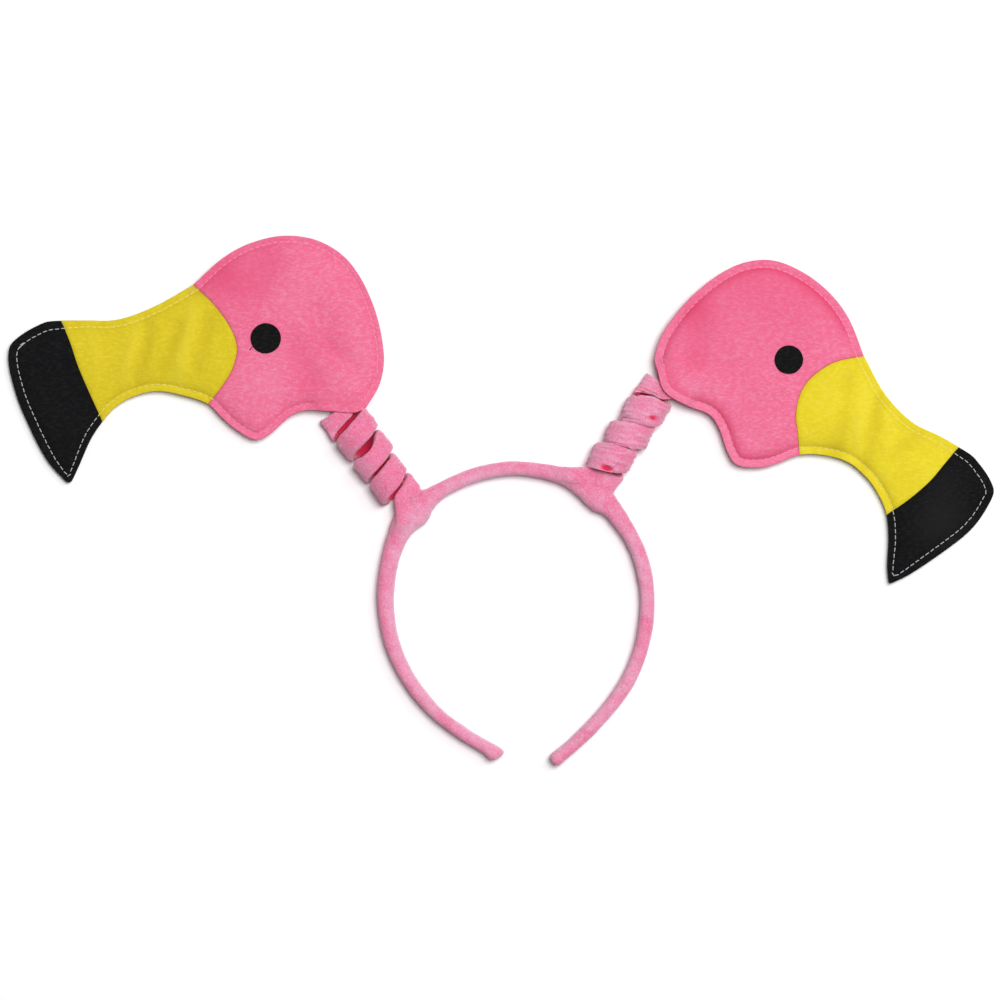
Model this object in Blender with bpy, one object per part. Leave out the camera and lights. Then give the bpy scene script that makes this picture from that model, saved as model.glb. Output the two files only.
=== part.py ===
"""Flamingo head bopper, lying on its back: a padded band, two sleeved coil springs and two felt heads.

+X is to the wearer's left as seen from the front, +Y is up the head and +Z is towards the viewer, so Z = 0 is the
table that the bopper lies on. All sizes are in metres. The band is drawn round the centre of its crown arc, the
springs grow out of it, the heads sit on the springs, and at the end the whole is centred over the origin.
"""

import functools
import math
from collections import namedtuple

import bmesh
import bpy
from mathutils import Quaternion, Vector
from mathutils.geometry import delaunay_2d_cdt

# Band
BAND_WIDTH = 0.1304
BAND_THICKNESS = 0.0072
BAND_HEIGHT = 0.011
BAND_CORNER = 0.0022
BAND_FACET = 0.0078
TIP_LENGTH = 0.009
LINE_STEP = 0.001

# Collars that tie the springs to the band
COLLAR_WALL = 0.0013
COLLAR_FRONT_SWELL = 0.0008

# Springs
RIBBON_WIDTH = 0.0094
RIBBON_THICKNESS = 0.0036
RIBBON_END_WIDTH = 0.0070
RIBBON_END_THICKNESS = 0.0024
SPRING_TURNS = 4
SPRING_END_RISE = 0.0034
TURN_STEPS = 14
TAIL_IN_HEAD = 0.0075

# Heads
HEAD_LENGTH = 0.1763
HEAD_HEIGHT = 0.1169
FELT = 0.0012
STITCH_INSET = 0.0027
FRONT_CROWN = 0.0030
BACK_CROWN = 0.0024
CROWN_RUN = 0.018
RIM_FACET = 0.0075
FELT_FACET = 0.0092
EYE_THICKNESS = 0.0010
EYE_SIDES = 20

# What every fit leaves between two pieces
GAP = 0.0003

# Each side's own sizes. Lengths along the band are counted from its top: join is where the spring leaves it and collar
# the middle of its collar. Angles are in degrees: lean is the way the spring points from the band (90 is straight up)
# and dip is how far the head is turned towards its beak. foot is the sleeve's straight run before its first bend, and
# skew leans the turns over. neck_reach is how far past the last bend the head's rim crosses the sleeve, at the place
# neck_forward, neck_up of the head's pattern, and neck_gape opens the felts further there.
Side = namedtuple(
    "Side",
    "name hand collar collar_length outer_swell inner_swell join lean foot spring_width turn_gap skew neck_reach"
    " neck_forward neck_up neck_gape dip cut eye_forward eye_up eye_width",
)
LEFT = Side(
    name="left", hand=-1, collar=0.0530, collar_length=0.026, outer_swell=0.0018, inner_swell=0.0024,
    join=0.0560, lean=125.4, foot=0.0012, spring_width=0.0206, turn_gap=0.0027, skew=0.0, neck_reach=0.0,
    neck_forward=0.108, neck_up=0.338, neck_gape=0.0, dip=0, cut=1.0, eye_forward=0.316, eye_up=0.588,
    eye_width=0.0141,
)
RIGHT = Side(
    name="right", hand=1, collar=0.0375, collar_length=0.026, outer_swell=0.0006, inner_swell=0.0018,
    join=0.0327, lean=54.6, foot=0.0004, spring_width=0.0189, turn_gap=0.0036, skew=0.0018, neck_reach=-0.0033,
    neck_forward=0.090, neck_up=0.326, neck_gape=0.0010, dip=27.35, cut=0.983, eye_forward=0.334, eye_up=0.653,
    eye_width=0.0133,
)

# The band's middle line from its top down to each tip, counted from the ring's centre in band widths, and its
# thickness there as a share of BAND_THICKNESS.
Knot = namedtuple("Knot", "across up thickness")
BAND_TOP = Knot(0.0, 0.485, 0.93)
BAND_SIDES = {
    "left": (
        Knot(0.156, 0.457, 0.94), Knot(0.297, 0.385, 1.04), Knot(0.380, 0.297, 1.10), Knot(0.437, 0.195, 1.14),
        Knot(0.466, 0.042, 1.10), Knot(0.451, -0.110, 0.98), Knot(0.395, -0.252, 0.94), Knot(0.302, -0.375, 0.88),
        Knot(0.181, -0.471, 0.82), Knot(0.047, -0.547, 0.86),
    ),
    "right": (
        Knot(0.156, 0.457, 0.94), Knot(0.275, 0.394, 1.00), Knot(0.352, 0.327, 1.03), Knot(0.436, 0.195, 1.00),
        Knot(0.472, 0.043, 0.96), Knot(0.462, -0.112, 0.96), Knot(0.413, -0.260, 0.95), Knot(0.325, -0.387, 0.90),
        Knot(0.218, -0.497, 0.86), Knot(0.131, -0.569, 0.84),
    ),
}

# How the band ends: back is the distance from the tip in tip lengths, size the share of the full section.
Tip = namedtuple("Tip", "back size")
TIPS = {
    "left": (Tip(1.0, 1.0), Tip(0.62, 1.18), Tip(0.24, 1.04), Tip(0.0, 0.52)),
    "right": (Tip(1.0, 1.0), Tip(0.50, 0.98), Tip(0.18, 0.86), Tip(0.0, 0.56)),
}

# How a collar swells along the band: place runs from -1 to 1 over its length, swell is a share of the side's swell.
Swell = namedtuple("Swell", "place swell")
COLLAR = (Swell(-1.0, 0.0), Swell(-0.62, 0.45), Swell(-0.3, 1.0), Swell(0.3, 1.0), Swell(0.62, 0.45), Swell(1.0, 0.0))

# The head's cutting pattern. forward counts from the nape to the beak in head lengths and up from the beak tip to the
# crown in head heights. The right head was cut a little off the pattern, by off_forward and off_up.
Rim = namedtuple("Rim", "place forward up sharp off_forward off_up")
RIM = (
    Rim("nape", 0.001, 0.530, False, 0.0, 0.0),
    Rim("neck_back", 0.011, 0.410, False, 0.0, 0.0),
    Rim("opening_back", 0.045, 0.350, False, 0.0, 0.0),
    Rim("opening_front", 0.151, 0.310, False, 0.0, -0.012),
    Rim("throat", 0.212, 0.300, False, 0.0, 0.007),
    Rim("chin_hollow", 0.252, 0.274, False, 0.001, 0.002),
    Rim("chin", 0.305, 0.204, False, 0.0, 0.0),
    Rim("chin_point", 0.342, 0.183, False, 0.0, -0.006),
    Rim("jowl", 0.395, 0.226, False, 0.007, -0.013),
    Rim("jaw", 0.432, 0.274, False, 0.008, -0.010),
    Rim("jaw_corner", 0.467, 0.326, False, 0.012, 0.004),
    Rim("under_back", 0.538, 0.362, False, -0.002, 0.012),
    Rim("under_middle", 0.605, 0.378, False, 0.0, 0.017),
    Rim("under_front", 0.668, 0.355, False, 0.005, 0.017),
    Rim("under_bend", 0.716, 0.312, False, 0.008, 0.018),
    Rim("tip_seam_low", 0.749, 0.256, False, 0.015, 0.021),
    Rim("hook", 0.780, 0.186, False, 0.018, 0.010),
    Rim("hook_low", 0.812, 0.078, False, 0.018, 0.014),
    Rim("beak_point", 0.836, 0.000, True, 0.020, 0.030),
    Rim("outer_low", 0.897, 0.104, False, -0.003, 0.003),
    Rim("notch", 0.958, 0.286, False, 0.0, 0.0),
    Rim("outer_middle", 0.984, 0.394, False, 0.003, 0.0),
    Rim("outer_top", 0.999, 0.510, False, -0.003, 0.0),
    Rim("beak_corner", 0.987, 0.574, False, 0.0, 0.0),
    Rim("ridge_front", 0.907, 0.650, False, 0.0, -0.005),
    Rim("tip_seam_top", 0.859, 0.660, False, -0.006, -0.003),
    Rim("ridge_middle", 0.796, 0.661, False, 0.0, 0.0),
    Rim("ridge_back", 0.708, 0.664, False, 0.0, -0.004),
    Rim("ridge_rise", 0.610, 0.716, False, -0.002, -0.005),
    Rim("brow_corner", 0.507, 0.802, True, 0.004, 0.006),
    Rim("brow", 0.427, 0.910, False, 0.002, 0.004),
    Rim("forehead", 0.353, 0.970, False, 0.0, 0.0),
    Rim("crown", 0.260, 0.999, False, 0.0, -0.003),
    Rim("crown_back", 0.167, 0.974, False, -0.001, 0.004),
    Rim("back", 0.090, 0.890, False, 0.0, 0.002),
    Rim("back_low", 0.029, 0.722, False, 0.0, 0.0),
)

# Where two felts meet inside the rim, from the top edge to the underside, on the same pattern.
Seam = namedtuple("Seam", "forward up off_forward off_up")
FACE_SEAM = (
    Seam(0.454, 0.730, -0.007, 0.0),
    Seam(0.406, 0.630, 0.004, 0.0),
    Seam(0.389, 0.550, 0.015, 0.0),
    Seam(0.401, 0.466, 0.019, 0.0),
    Seam(0.430, 0.394, 0.022, 0.0),
)
TIP_SEAM = (
    Seam(0.834, 0.574, 0.005, 0.0),
    Seam(0.812, 0.478, 0.012, 0.0),
    Seam(0.784, 0.378, 0.014, 0.0),
)

# How far the felts stand open to each side of the sleeve that goes in between them, and the run in which they close.
NECK_SPREAD = 0.0090
NECK_FADE = 0.0050

Finish = namedtuple("Finish", "color roughness")
VELOUR_PINK = Finish((0.80, 0.20, 0.36), 0.85)
FELT_PINK = Finish((0.88, 0.18, 0.34), 0.92)
FELT_YELLOW = Finish((0.76, 0.60, 0.02), 0.92)
FELT_BLACK = Finish((0.012, 0.012, 0.014), 0.90)


def clear_scene():
    """Empty the scene that the script starts in."""
    for thing in list(bpy.data.objects):
        bpy.data.objects.remove(thing, do_unlink=True)


def principled(name, finish):
    """One named material from its colour and roughness."""
    material = bpy.data.materials.new(name)
    material.use_nodes = True
    shader = material.node_tree.nodes["Principled BSDF"]
    shader.inputs["Base Color"].default_value = (*finish.color, 1.0)
    shader.inputs["Roughness"].default_value = finish.roughness
    shader.inputs["Metallic"].default_value = 0.0
    return material


def add_object(name, points, faces, finish, parent=None):
    """A smooth-shaded object with its own material, its faces turned outwards."""
    work = bmesh.new()
    corners = [work.verts.new(point) for point in points]
    for face in faces:
        work.faces.new([corners[index] for index in face])
    bmesh.ops.recalc_face_normals(work, faces=work.faces)
    if work.calc_volume(signed=True) < 0:
        bmesh.ops.reverse_faces(work, faces=work.faces)
    mesh = bpy.data.meshes.new(name)
    work.to_mesh(mesh)
    work.free()
    mesh.shade_smooth()
    mesh.set_sharp_from_angle(angle=math.radians(40))
    mesh.materials.append(principled(name, finish))
    thing = bpy.data.objects.new(name, mesh)
    bpy.context.scene.collection.objects.link(thing)
    thing.parent = parent
    return thing


def add_empty(name, location, rotation=None, parent=None):
    """An empty that other objects hang on."""
    empty = bpy.data.objects.new(name, None)
    bpy.context.scene.collection.objects.link(empty)
    empty.location = location
    if rotation is not None:
        empty.rotation_mode = "QUATERNION"
        empty.rotation_quaternion = rotation
    empty.parent = parent
    return empty


def ease(share):
    """0 to 1 with level ends."""
    held = min(1.0, max(0.0, share))
    return held * held * (3.0 - 2.0 * held)


def loft(rings):
    """Points and faces of a closed body through rings of equal length, with a fan on each end."""
    count = len(rings[0])
    points = [point for ring in rings for point in ring]
    faces = []
    for row in range(len(rings) - 1):
        for index in range(count):
            after = (index + 1) % count
            start = row * count
            faces.append((start + index, start + after, start + count + after, start + count + index))
    for row in (0, len(rings) - 1):
        middle = sum(rings[row], Vector()) / count
        points.append(middle)
        for index in range(count):
            faces.append((row * count + index, row * count + (index + 1) % count, len(points) - 1))
    return points, faces


def sleeve(outer, inner):
    """Points and faces of a closed wall between outer and inner rings."""
    count = len(outer[0])
    rows = len(outer)
    points = [point for ring in outer + inner for point in ring]
    faces = []
    for row in range(rows - 1):
        for index in range(count):
            after = (index + 1) % count
            for shift in (0, rows * count):
                start = shift + row * count
                faces.append((start + index, start + after, start + count + after, start + count + index))
    for row in (0, rows - 1):
        for index in range(count):
            after = (index + 1) % count
            here = row * count
            inside = here + rows * count
            faces.append((here + index, here + after, inside + after, inside + index))
    return points, faces


# Band

@functools.cache
def band_line(side):
    """Middle line from the top of the band to a tip, as (distance, point, thickness) rows."""
    knots = (BAND_TOP,) + BAND_SIDES[side.name]
    places = [Vector((knot.across, knot.up)) * BAND_WIDTH for knot in knots]
    mirrored = Vector((-places[1].x, places[1].y))
    stretches = curve_points([mirrored] + places, [False] * (len(places) + 1), LINE_STEP, False)[1:]
    rows = []
    distance = 0.0
    for index, points in enumerate(stretches):
        for step, point in enumerate(points):
            share = step / len(points)
            thickness = knots[index].thickness * (1.0 - share) + knots[index + 1].thickness * share
            if rows:
                distance += (point - rows[-1][1]).length
            rows.append((distance, point, thickness * BAND_THICKNESS))
    rows.append((distance + (places[-1] - rows[-1][1]).length, places[-1], knots[-1].thickness * BAND_THICKNESS))
    return rows


def band_frame(side, distance):
    """Middle line, outward direction and thickness at a distance from the top."""
    rows = band_line(side)
    index = 1
    while index < len(rows) - 1 and rows[index][0] < distance:
        index += 1
    before, point, thickness = rows[index - 1]
    after, beyond, thickness_beyond = rows[index]
    share = (distance - before) / (after - before)
    middle = point.lerp(beyond, share)
    back = point if index > 1 else Vector((-beyond.x, beyond.y))
    ahead = rows[min(index + 1, len(rows) - 1)][1]
    along = (beyond - back).normalized().lerp((ahead - point).normalized(), share)
    outward = Vector((-along.y * side.hand, along.x, 0.0)).normalized()
    return Vector((middle.x * side.hand, middle.y, 0.0)), outward, thickness + (thickness_beyond - thickness) * share


def side_length(side):
    """From the top of the band to the tip."""
    return band_line(side)[-1][0]


def band_section(thickness, inset=0.0, size=1.0, outer=0.0, inner=0.0, front=0.0):
    """Rounded rectangle as (outward, height) pairs, drawn in by inset and swollen on its sides."""
    reach_out = thickness / 2 * size - inset + outer
    reach_in = thickness / 2 * size - inset + inner
    low = inset
    high = BAND_HEIGHT - inset + front
    corner = min(BAND_CORNER * size, 0.4 * (reach_out + reach_in))
    bevel = corner * (1.0 - math.sqrt(0.5))
    shrink = BAND_HEIGHT * (1.0 - min(size, 1.0)) / 2
    high -= shrink
    low += shrink
    return [
        (reach_out, low + corner), (reach_out, high - corner), (reach_out - bevel, high - bevel),
        (reach_out - corner, high), (corner - reach_in, high), (bevel - reach_in, high - bevel),
        (-reach_in, high - corner), (-reach_in, low + corner), (bevel - reach_in, low + bevel),
        (corner - reach_in, low), (reach_out - corner, low), (reach_out - bevel, low + bevel),
    ]


def band_ring(side, distance, **shape):
    """The band's section set across its middle line."""
    place, outward, thickness = band_frame(side, distance)
    return [place + outward * out + Vector((0.0, 0.0, height)) for out, height in band_section(thickness, **shape)]


def band_stations(side):
    """Distances from the top with the section drawn there, on one side of the band."""
    half = side.collar_length / 2
    middle = side.collar
    drawn_in = COLLAR_WALL + GAP
    stations = []
    for way in (-1, 1):
        stations.append((middle + way * (half + 2 * GAP), {"inset": 0.0}))
        stations.append((middle + way * (half + GAP), {"inset": drawn_in}))
    stations.append((middle, {"inset": drawn_in}))
    stations.append((middle - half / 2, {"inset": drawn_in}))
    stations.append((middle + half / 2, {"inset": drawn_in}))
    end = side_length(side)
    for tip in TIPS[side.name]:
        stations.append((end - tip.back * TIP_LENGTH, {"size": tip.size}))
    count = round((end - TIP_LENGTH) / BAND_FACET)
    step = (end - TIP_LENGTH) / count
    for index in range(count):
        distance = (index + 0.5) * step
        outside = abs(distance - middle) > half + step / 3
        if outside and distance < end - TIP_LENGTH - step / 3:
            stations.append((distance, {}))
    return sorted(stations, key=lambda station: station[0])


def build_band(root):
    """The padded band from the left tip over the crown to the right tip."""
    rings = [band_ring(LEFT, distance, **shape) for distance, shape in reversed(band_stations(LEFT))]
    rings += [band_ring(RIGHT, distance, **shape) for distance, shape in band_stations(RIGHT)]
    add_object("headband", *loft(rings), VELOUR_PINK, root)


def build_collar(side, root):
    """The velour tied round the band under a spring, swollen on both sides of it."""
    outer = []
    inner = []
    for row in COLLAR:
        distance = side.collar + row.place * side.collar_length / 2
        swell = {
            "outer": row.swell * side.outer_swell,
            "inner": row.swell * side.inner_swell,
            "front": row.swell * COLLAR_FRONT_SWELL,
        }
        outer.append(band_ring(side, distance, **swell))
        inner.append(band_ring(side, distance, inset=COLLAR_WALL))
    add_object(side.name + "_wrap", *sleeve(outer, inner), VELOUR_PINK, root)


# Springs

def tail_bend():
    """Radius of the flat turn that leads a sleeve out of its spring, wide enough for the sleeve's inner edge."""
    return RIBBON_END_WIDTH / 2 + 0.0004


def spring_pitch(side):
    """Distance from one turn to the next."""
    return RIBBON_WIDTH + side.turn_gap


def spring_top():
    """Height of the flattened sleeve at both ends of a spring."""
    return RIBBON_END_THICKNESS / 2 + 2 * SPRING_END_RISE


def spring_base(side):
    """Where a spring's sleeve meets its collar."""
    place, outward, thickness = band_frame(side, side.join)
    reach = thickness / 2 + side.outer_swell + GAP
    return place + outward * reach + Vector((0.0, 0.0, spring_top()))


def spring_rows(side):
    """Path of the sleeve from the band to the head, as (place, facing, width, thickness) rows.

    The spring's own frame has +X up the spring and its first point at the origin. The turns lie on the table.
    """
    bend = tail_bend()
    pitch = spring_pitch(side)
    start = side.foot + bend
    across = -bend
    end_angle = 2 * math.pi * SPRING_TURNS
    up = Vector((0.0, 0.0, 1.0))
    top = spring_top()
    rows = [(Vector((0.0, 0.0, 0.0)), up, RIBBON_END_WIDTH, RIBBON_END_THICKNESS)]
    for degrees in (90, 72, 54, 36, 18):
        turn = math.radians(degrees)
        place = Vector((start - bend + bend * math.cos(turn), across + bend * math.sin(turn), 0.0))
        rows.append((place, up, RIBBON_END_WIDTH, RIBBON_END_THICKNESS))
    for index in range(SPRING_TURNS * TURN_STEPS + 1):
        angle = end_angle * index / (SPRING_TURNS * TURN_STEPS)
        from_end = min(angle, end_angle - angle)
        full = ease(from_end / (1.5 * math.pi))
        wide = ease(from_end / math.pi)
        thickness = RIBBON_END_THICKNESS + (RIBBON_THICKNESS - RIBBON_END_THICKNESS) * full
        width = RIBBON_END_WIDTH + (RIBBON_WIDTH - RIBBON_END_WIDTH) * wide
        sideways = (side.spring_width - RIBBON_THICKNESS) / 2
        rise = SPRING_END_RISE + (sideways - SPRING_END_RISE) * full
        along = start + pitch * angle / (2 * math.pi) + side.skew * math.sin(angle) * full
        height = thickness / 2 + rise + rise * math.cos(angle)
        facing = Vector((0.0, -math.sin(angle) / sideways, math.cos(angle) / rise))
        place = Vector((along, across - sideways * math.sin(angle), height - top))
        rows.append((place, facing.normalized(), width, thickness))
    finish = start + pitch * SPRING_TURNS
    for degrees in (18, 36, 54, 72, 90):
        turn = math.radians(degrees)
        place = Vector((finish + bend - bend * math.cos(turn), across - bend * math.sin(turn), 0.0))
        rows.append((place, up, RIBBON_END_WIDTH, RIBBON_END_THICKNESS))
    tail = finish + bend + side.neck_reach + TAIL_IN_HEAD
    rows.append((Vector((tail, across - bend, 0.0)), up, RIBBON_END_WIDTH, RIBBON_END_THICKNESS))
    return rows


def ribbon_ring(place, across, facing, width, thickness):
    """Flat eight-sided section of the sleeve."""
    shape = ((1.0, 0.4), (0.8, 1.0), (-0.8, 1.0), (-1.0, 0.4), (-1.0, -0.4), (-0.8, -1.0), (0.8, -1.0), (1.0, -0.4))
    return [place + across * (wide * width / 2) + facing * (thick * thickness / 2) for wide, thick in shape]


def build_spring(side, root):
    """One sleeved spring, cut at the band's end along the collar it is sewn to."""
    rows = spring_rows(side)
    lean = math.radians(side.lean)
    rings = []
    for index, (place, facing, width, thickness) in enumerate(rows):
        before = rows[max(0, index - 1)][0]
        after = rows[min(len(rows) - 1, index + 1)][0]
        forward = (after - before).normalized()
        facing = (facing - forward * facing.dot(forward)).normalized()
        across = forward.cross(facing)
        if index == 0:
            outward = band_frame(side, side.join)[1]
            outward.rotate(Quaternion((0.0, 0.0, 1.0), -lean))
            along_band = Vector((-outward.y, outward.x, 0.0))
            across = along_band / along_band.dot(across)
        rings.append(ribbon_ring(place, across, facing, width, thickness))
    stand = add_empty(side.name + "_spring_base", spring_base(side), Quaternion((0.0, 0.0, 1.0), lean), root)
    add_object(side.name + "_spring", *loft(rings), VELOUR_PINK, stand)


def neck_place(side):
    """Where the sleeve passes the head's rim, in the band's frame."""
    bend = tail_bend()
    reach = side.foot + 2 * bend + spring_pitch(side) * SPRING_TURNS + side.neck_reach
    local = Vector((reach, -2 * bend, 0.0))
    local.rotate(Quaternion((0.0, 0.0, 1.0), math.radians(side.lean)))
    return spring_base(side) + local


# Heads

def on_pattern(side, row):
    """A pattern row as a point of the head's own frame, whose origin is the neck."""
    forward = row.forward
    up = row.up
    if side is RIGHT:
        forward += row.off_forward
        up += row.off_up
    ahead = (forward - side.neck_forward) * HEAD_LENGTH * side.cut
    above = (up - side.neck_up) * HEAD_HEIGHT * side.cut
    return Vector((ahead * side.hand, above))


def curve_points(knots, sharp, facet, closed):
    """Points along a smooth curve through the knots, a facet apart, as one list for each stretch.

    A sharp knot breaks the curve there. Each list starts on its knot and leaves out the next one.
    """
    count = len(knots)
    stretches = []
    for index in range(count if closed else count - 1):
        here = knots[index]
        there = knots[(index + 1) % count]
        before = knots[index - 1] if closed or index else here
        beyond = knots[(index + 2) % count] if closed or index + 2 < count else there
        leave = (there - before) / 2
        reach = (beyond - here) / 2
        if sharp[index] or (not closed and index == 0):
            leave = there - here
        if sharp[(index + 1) % count] or (not closed and index + 2 == count):
            reach = there - here
        span = (there - here).length
        leave = leave.normalized() * span
        reach = reach.normalized() * span
        steps = max(1, round(span / facet))
        points = []
        for step in range(steps):
            t = step / steps
            points.append(
                here * (2 * t ** 3 - 3 * t ** 2 + 1) + leave * (t ** 3 - 2 * t ** 2 + t)
                + there * (3 * t ** 2 - 2 * t ** 3) + reach * (t ** 3 - t ** 2)
            )
        stretches.append(points)
    return stretches


def rim_stretches(side):
    """The head's rim, one list of points for each row of the pattern."""
    knots = [on_pattern(side, row) for row in RIM]
    sharp = [row.sharp for row in RIM]
    return curve_points(knots, sharp, RIM_FACET, True)


def seam_points(side, rows, start, end):
    """A seam from one rim point to another, with both ends in the list."""
    knots = [start] + [on_pattern(side, row) for row in rows] + [end]
    stretches = curve_points(knots, [False] * len(knots), RIM_FACET, False)
    return [point for stretch in stretches for point in stretch] + [end]


def pushed(points, distance):
    """An open line moved to its left."""
    moved = []
    for index, point in enumerate(points):
        forward = (points[min(len(points) - 1, index + 1)] - points[max(0, index - 1)]).normalized()
        moved.append(point + Vector((-forward.y, forward.x)) * distance)
    return moved


def line_distance(point, line, closed):
    """Distance from a point to a chain of straight lines."""
    best = math.inf
    for index in range(len(line) if closed else len(line) - 1):
        start = line[index]
        span = line[(index + 1) % len(line)] - start
        share = min(1.0, max(0.0, (point - start).dot(span) / span.length_squared))
        best = min(best, (point - start - span * share).length)
    return best


def is_inside(point, loop):
    """Whether a point lies in a closed loop."""
    inside = False
    for index, corner in enumerate(loop):
        after = loop[(index + 1) % len(loop)]
        if (corner.y > point.y) != (after.y > point.y):
            crossing = corner.x + (after.x - corner.x) * (point.y - corner.y) / (after.y - corner.y)
            if point.x < crossing:
                inside = not inside
    return inside


def head_rise(side, rim, point, crown):
    """How far a felt stands off the head's middle plane: level to the stitches, crowned inside, open at the neck."""
    depth = line_distance(point, rim, True)
    puff = crown * math.sin(math.pi / 2 * min(1.0, max(0.0, (depth - STITCH_INSET) / CROWN_RUN)))
    tail = math.radians(side.lean + side.hand * side.dip)
    into = Vector((math.cos(tail), math.sin(tail)))
    inward = point.dot(into)
    sideways = abs(point.x * into.y - point.y * into.x)
    open_wide = ease((NECK_SPREAD + NECK_FADE - sideways) / NECK_FADE)
    open_deep = ease((TAIL_IN_HEAD + 2 * NECK_FADE - abs(inward)) / NECK_FADE)
    pocket = (RIBBON_END_THICKNESS / 2 + GAP + side.neck_gape) * open_wide * open_deep
    return GAP / 2 + math.hypot(puff, pocket)


def inner_points(loop, rim):
    """Points that fill a felt: two rows that follow the rim and a triangular grid inside them."""
    filled = []
    area = sum(a.x * b.y - a.y * b.x for a, b in zip(rim, rim[1:] + rim[:1]))
    way = 1 if area > 0 else -1
    for offset in (STITCH_INSET, STITCH_INSET + 0.4 * CROWN_RUN):
        for index, point in enumerate(rim):
            forward = (rim[(index + 1) % len(rim)] - rim[index - 1]).normalized()
            moved = point + Vector((-forward.y, forward.x)) * (offset * way)
            clear_of_rim = line_distance(moved, rim, True) > 0.96 * offset
            if clear_of_rim and is_inside(moved, loop) and line_distance(moved, loop, True) > 0.9 * STITCH_INSET:
                if all((moved - other).length > 0.3 * RIM_FACET for other in filled):
                    filled.append(moved)
    low_x = min(point.x for point in loop)
    low_y = min(point.y for point in loop)
    columns = int((max(point.x for point in loop) - low_x) / FELT_FACET) + 2
    row_step = FELT_FACET * math.sqrt(0.75)
    rows = int((max(point.y for point in loop) - low_y) / row_step) + 2
    edge = STITCH_INSET + 0.4 * CROWN_RUN + 0.5 * FELT_FACET
    for row in range(rows):
        for column in range(columns):
            point = Vector((low_x + (column + 0.5 * (row % 2)) * FELT_FACET, low_y + row * row_step))
            if is_inside(point, loop) and line_distance(point, rim, True) > edge:
                if line_distance(point, loop, True) > 0.45 * FELT_FACET:
                    filled.append(point)
    return filled


def felt_solid(side, loop, rim, crown, facing):
    """Points and faces of one felt, FELT thick, over its outline and under the head's crown."""
    flat = loop + inner_points(loop, rim)
    count = len(loop)
    edges = [(index, (index + 1) % count) for index in range(count)]
    spots, _, triangles, _, _, _ = delaunay_2d_cdt(flat, edges, [], 1, 1e-7)
    points = []
    for level in (0.0, FELT):
        for spot in spots:
            rise = head_rise(side, rim, spot, crown) + level
            points.append(Vector((spot.x, spot.y, rise * facing)))
    size = len(spots)
    faces = []
    border = {}
    for a, b, c in triangles:
        faces.append((a, b, c))
        faces.append((a + size, b + size, c + size))
        for pair in ((a, b), (b, c), (c, a)):
            border[frozenset(pair)] = border.get(frozenset(pair), 0) + 1
    for pair, uses in border.items():
        if uses == 1:
            a, b = pair
            faces.append((a, b, b + size, a + size))
    return points, faces


def head_loops(side):
    """Outlines of the face, beak and tip felts, and the whole rim."""
    stretches = rim_stretches(side)
    place = {row.place: index for index, row in enumerate(RIM)}
    rim = [point for stretch in stretches for point in stretch]

    def along(first, last):
        """The rim from just after one place to just before another."""
        index = place[first]
        run = list(stretches[index][1:])
        while True:
            index = (index + 1) % len(RIM)
            if index == place[last]:
                return run
            run += stretches[index]

    face_seam = seam_points(side, FACE_SEAM, stretches[place["brow_corner"]][0], stretches[place["jaw_corner"]][0])
    tip_seam = seam_points(side, TIP_SEAM, stretches[place["tip_seam_top"]][0], stretches[place["tip_seam_low"]][0])
    half_gap = GAP / 2 * side.hand
    face = along("brow_corner", "jaw_corner") + pushed(face_seam, -half_gap)[::-1]
    beak = (
        along("jaw_corner", "tip_seam_low") + pushed(tip_seam, -half_gap)[::-1]
        + along("tip_seam_top", "brow_corner") + pushed(face_seam, half_gap)
    )
    tip = along("tip_seam_low", "tip_seam_top") + pushed(tip_seam, half_gap)
    return {"face": face, "beak": beak, "tip": tip}, rim


def build_eye(side, rim, head):
    """A felt disc that follows the crown of the face."""
    middle = on_pattern(side, Seam(side.eye_forward, side.eye_up, 0.0, 0.0))
    rings = []
    for level in (GAP, GAP + EYE_THICKNESS):
        for share in (0.5, 1.0):
            ring = []
            for index in range(EYE_SIDES):
                turn = 2 * math.pi * index / EYE_SIDES
                spot = middle + Vector((math.cos(turn), math.sin(turn))) * (share * side.eye_width / 2)
                ring.append(Vector((spot.x, spot.y, head_rise(side, rim, spot, FRONT_CROWN) + FELT + level)))
            rings.append(ring)
    under_half, under_full, over_half, over_full = rings
    add_object(side.name + "_eye", *loft([under_half, under_full, over_full, over_half]), FELT_BLACK, head)


def drop_to_table(points, to_beak):
    """Angle that lets a head down from its neck until the first of its points touches the table."""
    angles = []
    for point in points:
        ahead = point.x * to_beak.x + point.y * to_beak.y
        reach = math.hypot(ahead, point.z)
        if ahead > 0 and reach > spring_top():
            angles.append(math.asin(spring_top() / reach) - math.atan2(-point.z, ahead))
    return min(angles)


def build_head(side, root):
    """Two shells of three felts each on an empty at the neck, let down until the beak's point lies on the table."""
    loops, rim = head_loops(side)
    felts = {"face": FELT_PINK, "beak": FELT_YELLOW, "tip": FELT_BLACK}
    solids = {}
    for shell, crown, facing in (("front", FRONT_CROWN, 1), ("back", BACK_CROWN, -1)):
        for felt in felts:
            solids[felt, shell] = felt_solid(side, loops[felt], rim, crown, facing)
    to_beak = on_pattern(side, RIM[[row.place for row in RIM].index("beak_point")]).normalized()
    under = [point for felt in felts for point in solids[felt, "back"][0]]
    turn = Quaternion((0.0, 0.0, 1.0), math.radians(-side.hand * side.dip))
    tilt = Quaternion((-to_beak.y, to_beak.x, 0.0), drop_to_table(under, to_beak))
    head = add_empty(side.name + "_head", neck_place(side), turn @ tilt, root)
    for (felt, shell), solid in solids.items():
        add_object(f"{side.name}_{felt}_{shell}", *solid, felts[felt], head)
    build_eye(side, rim, head)


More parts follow.
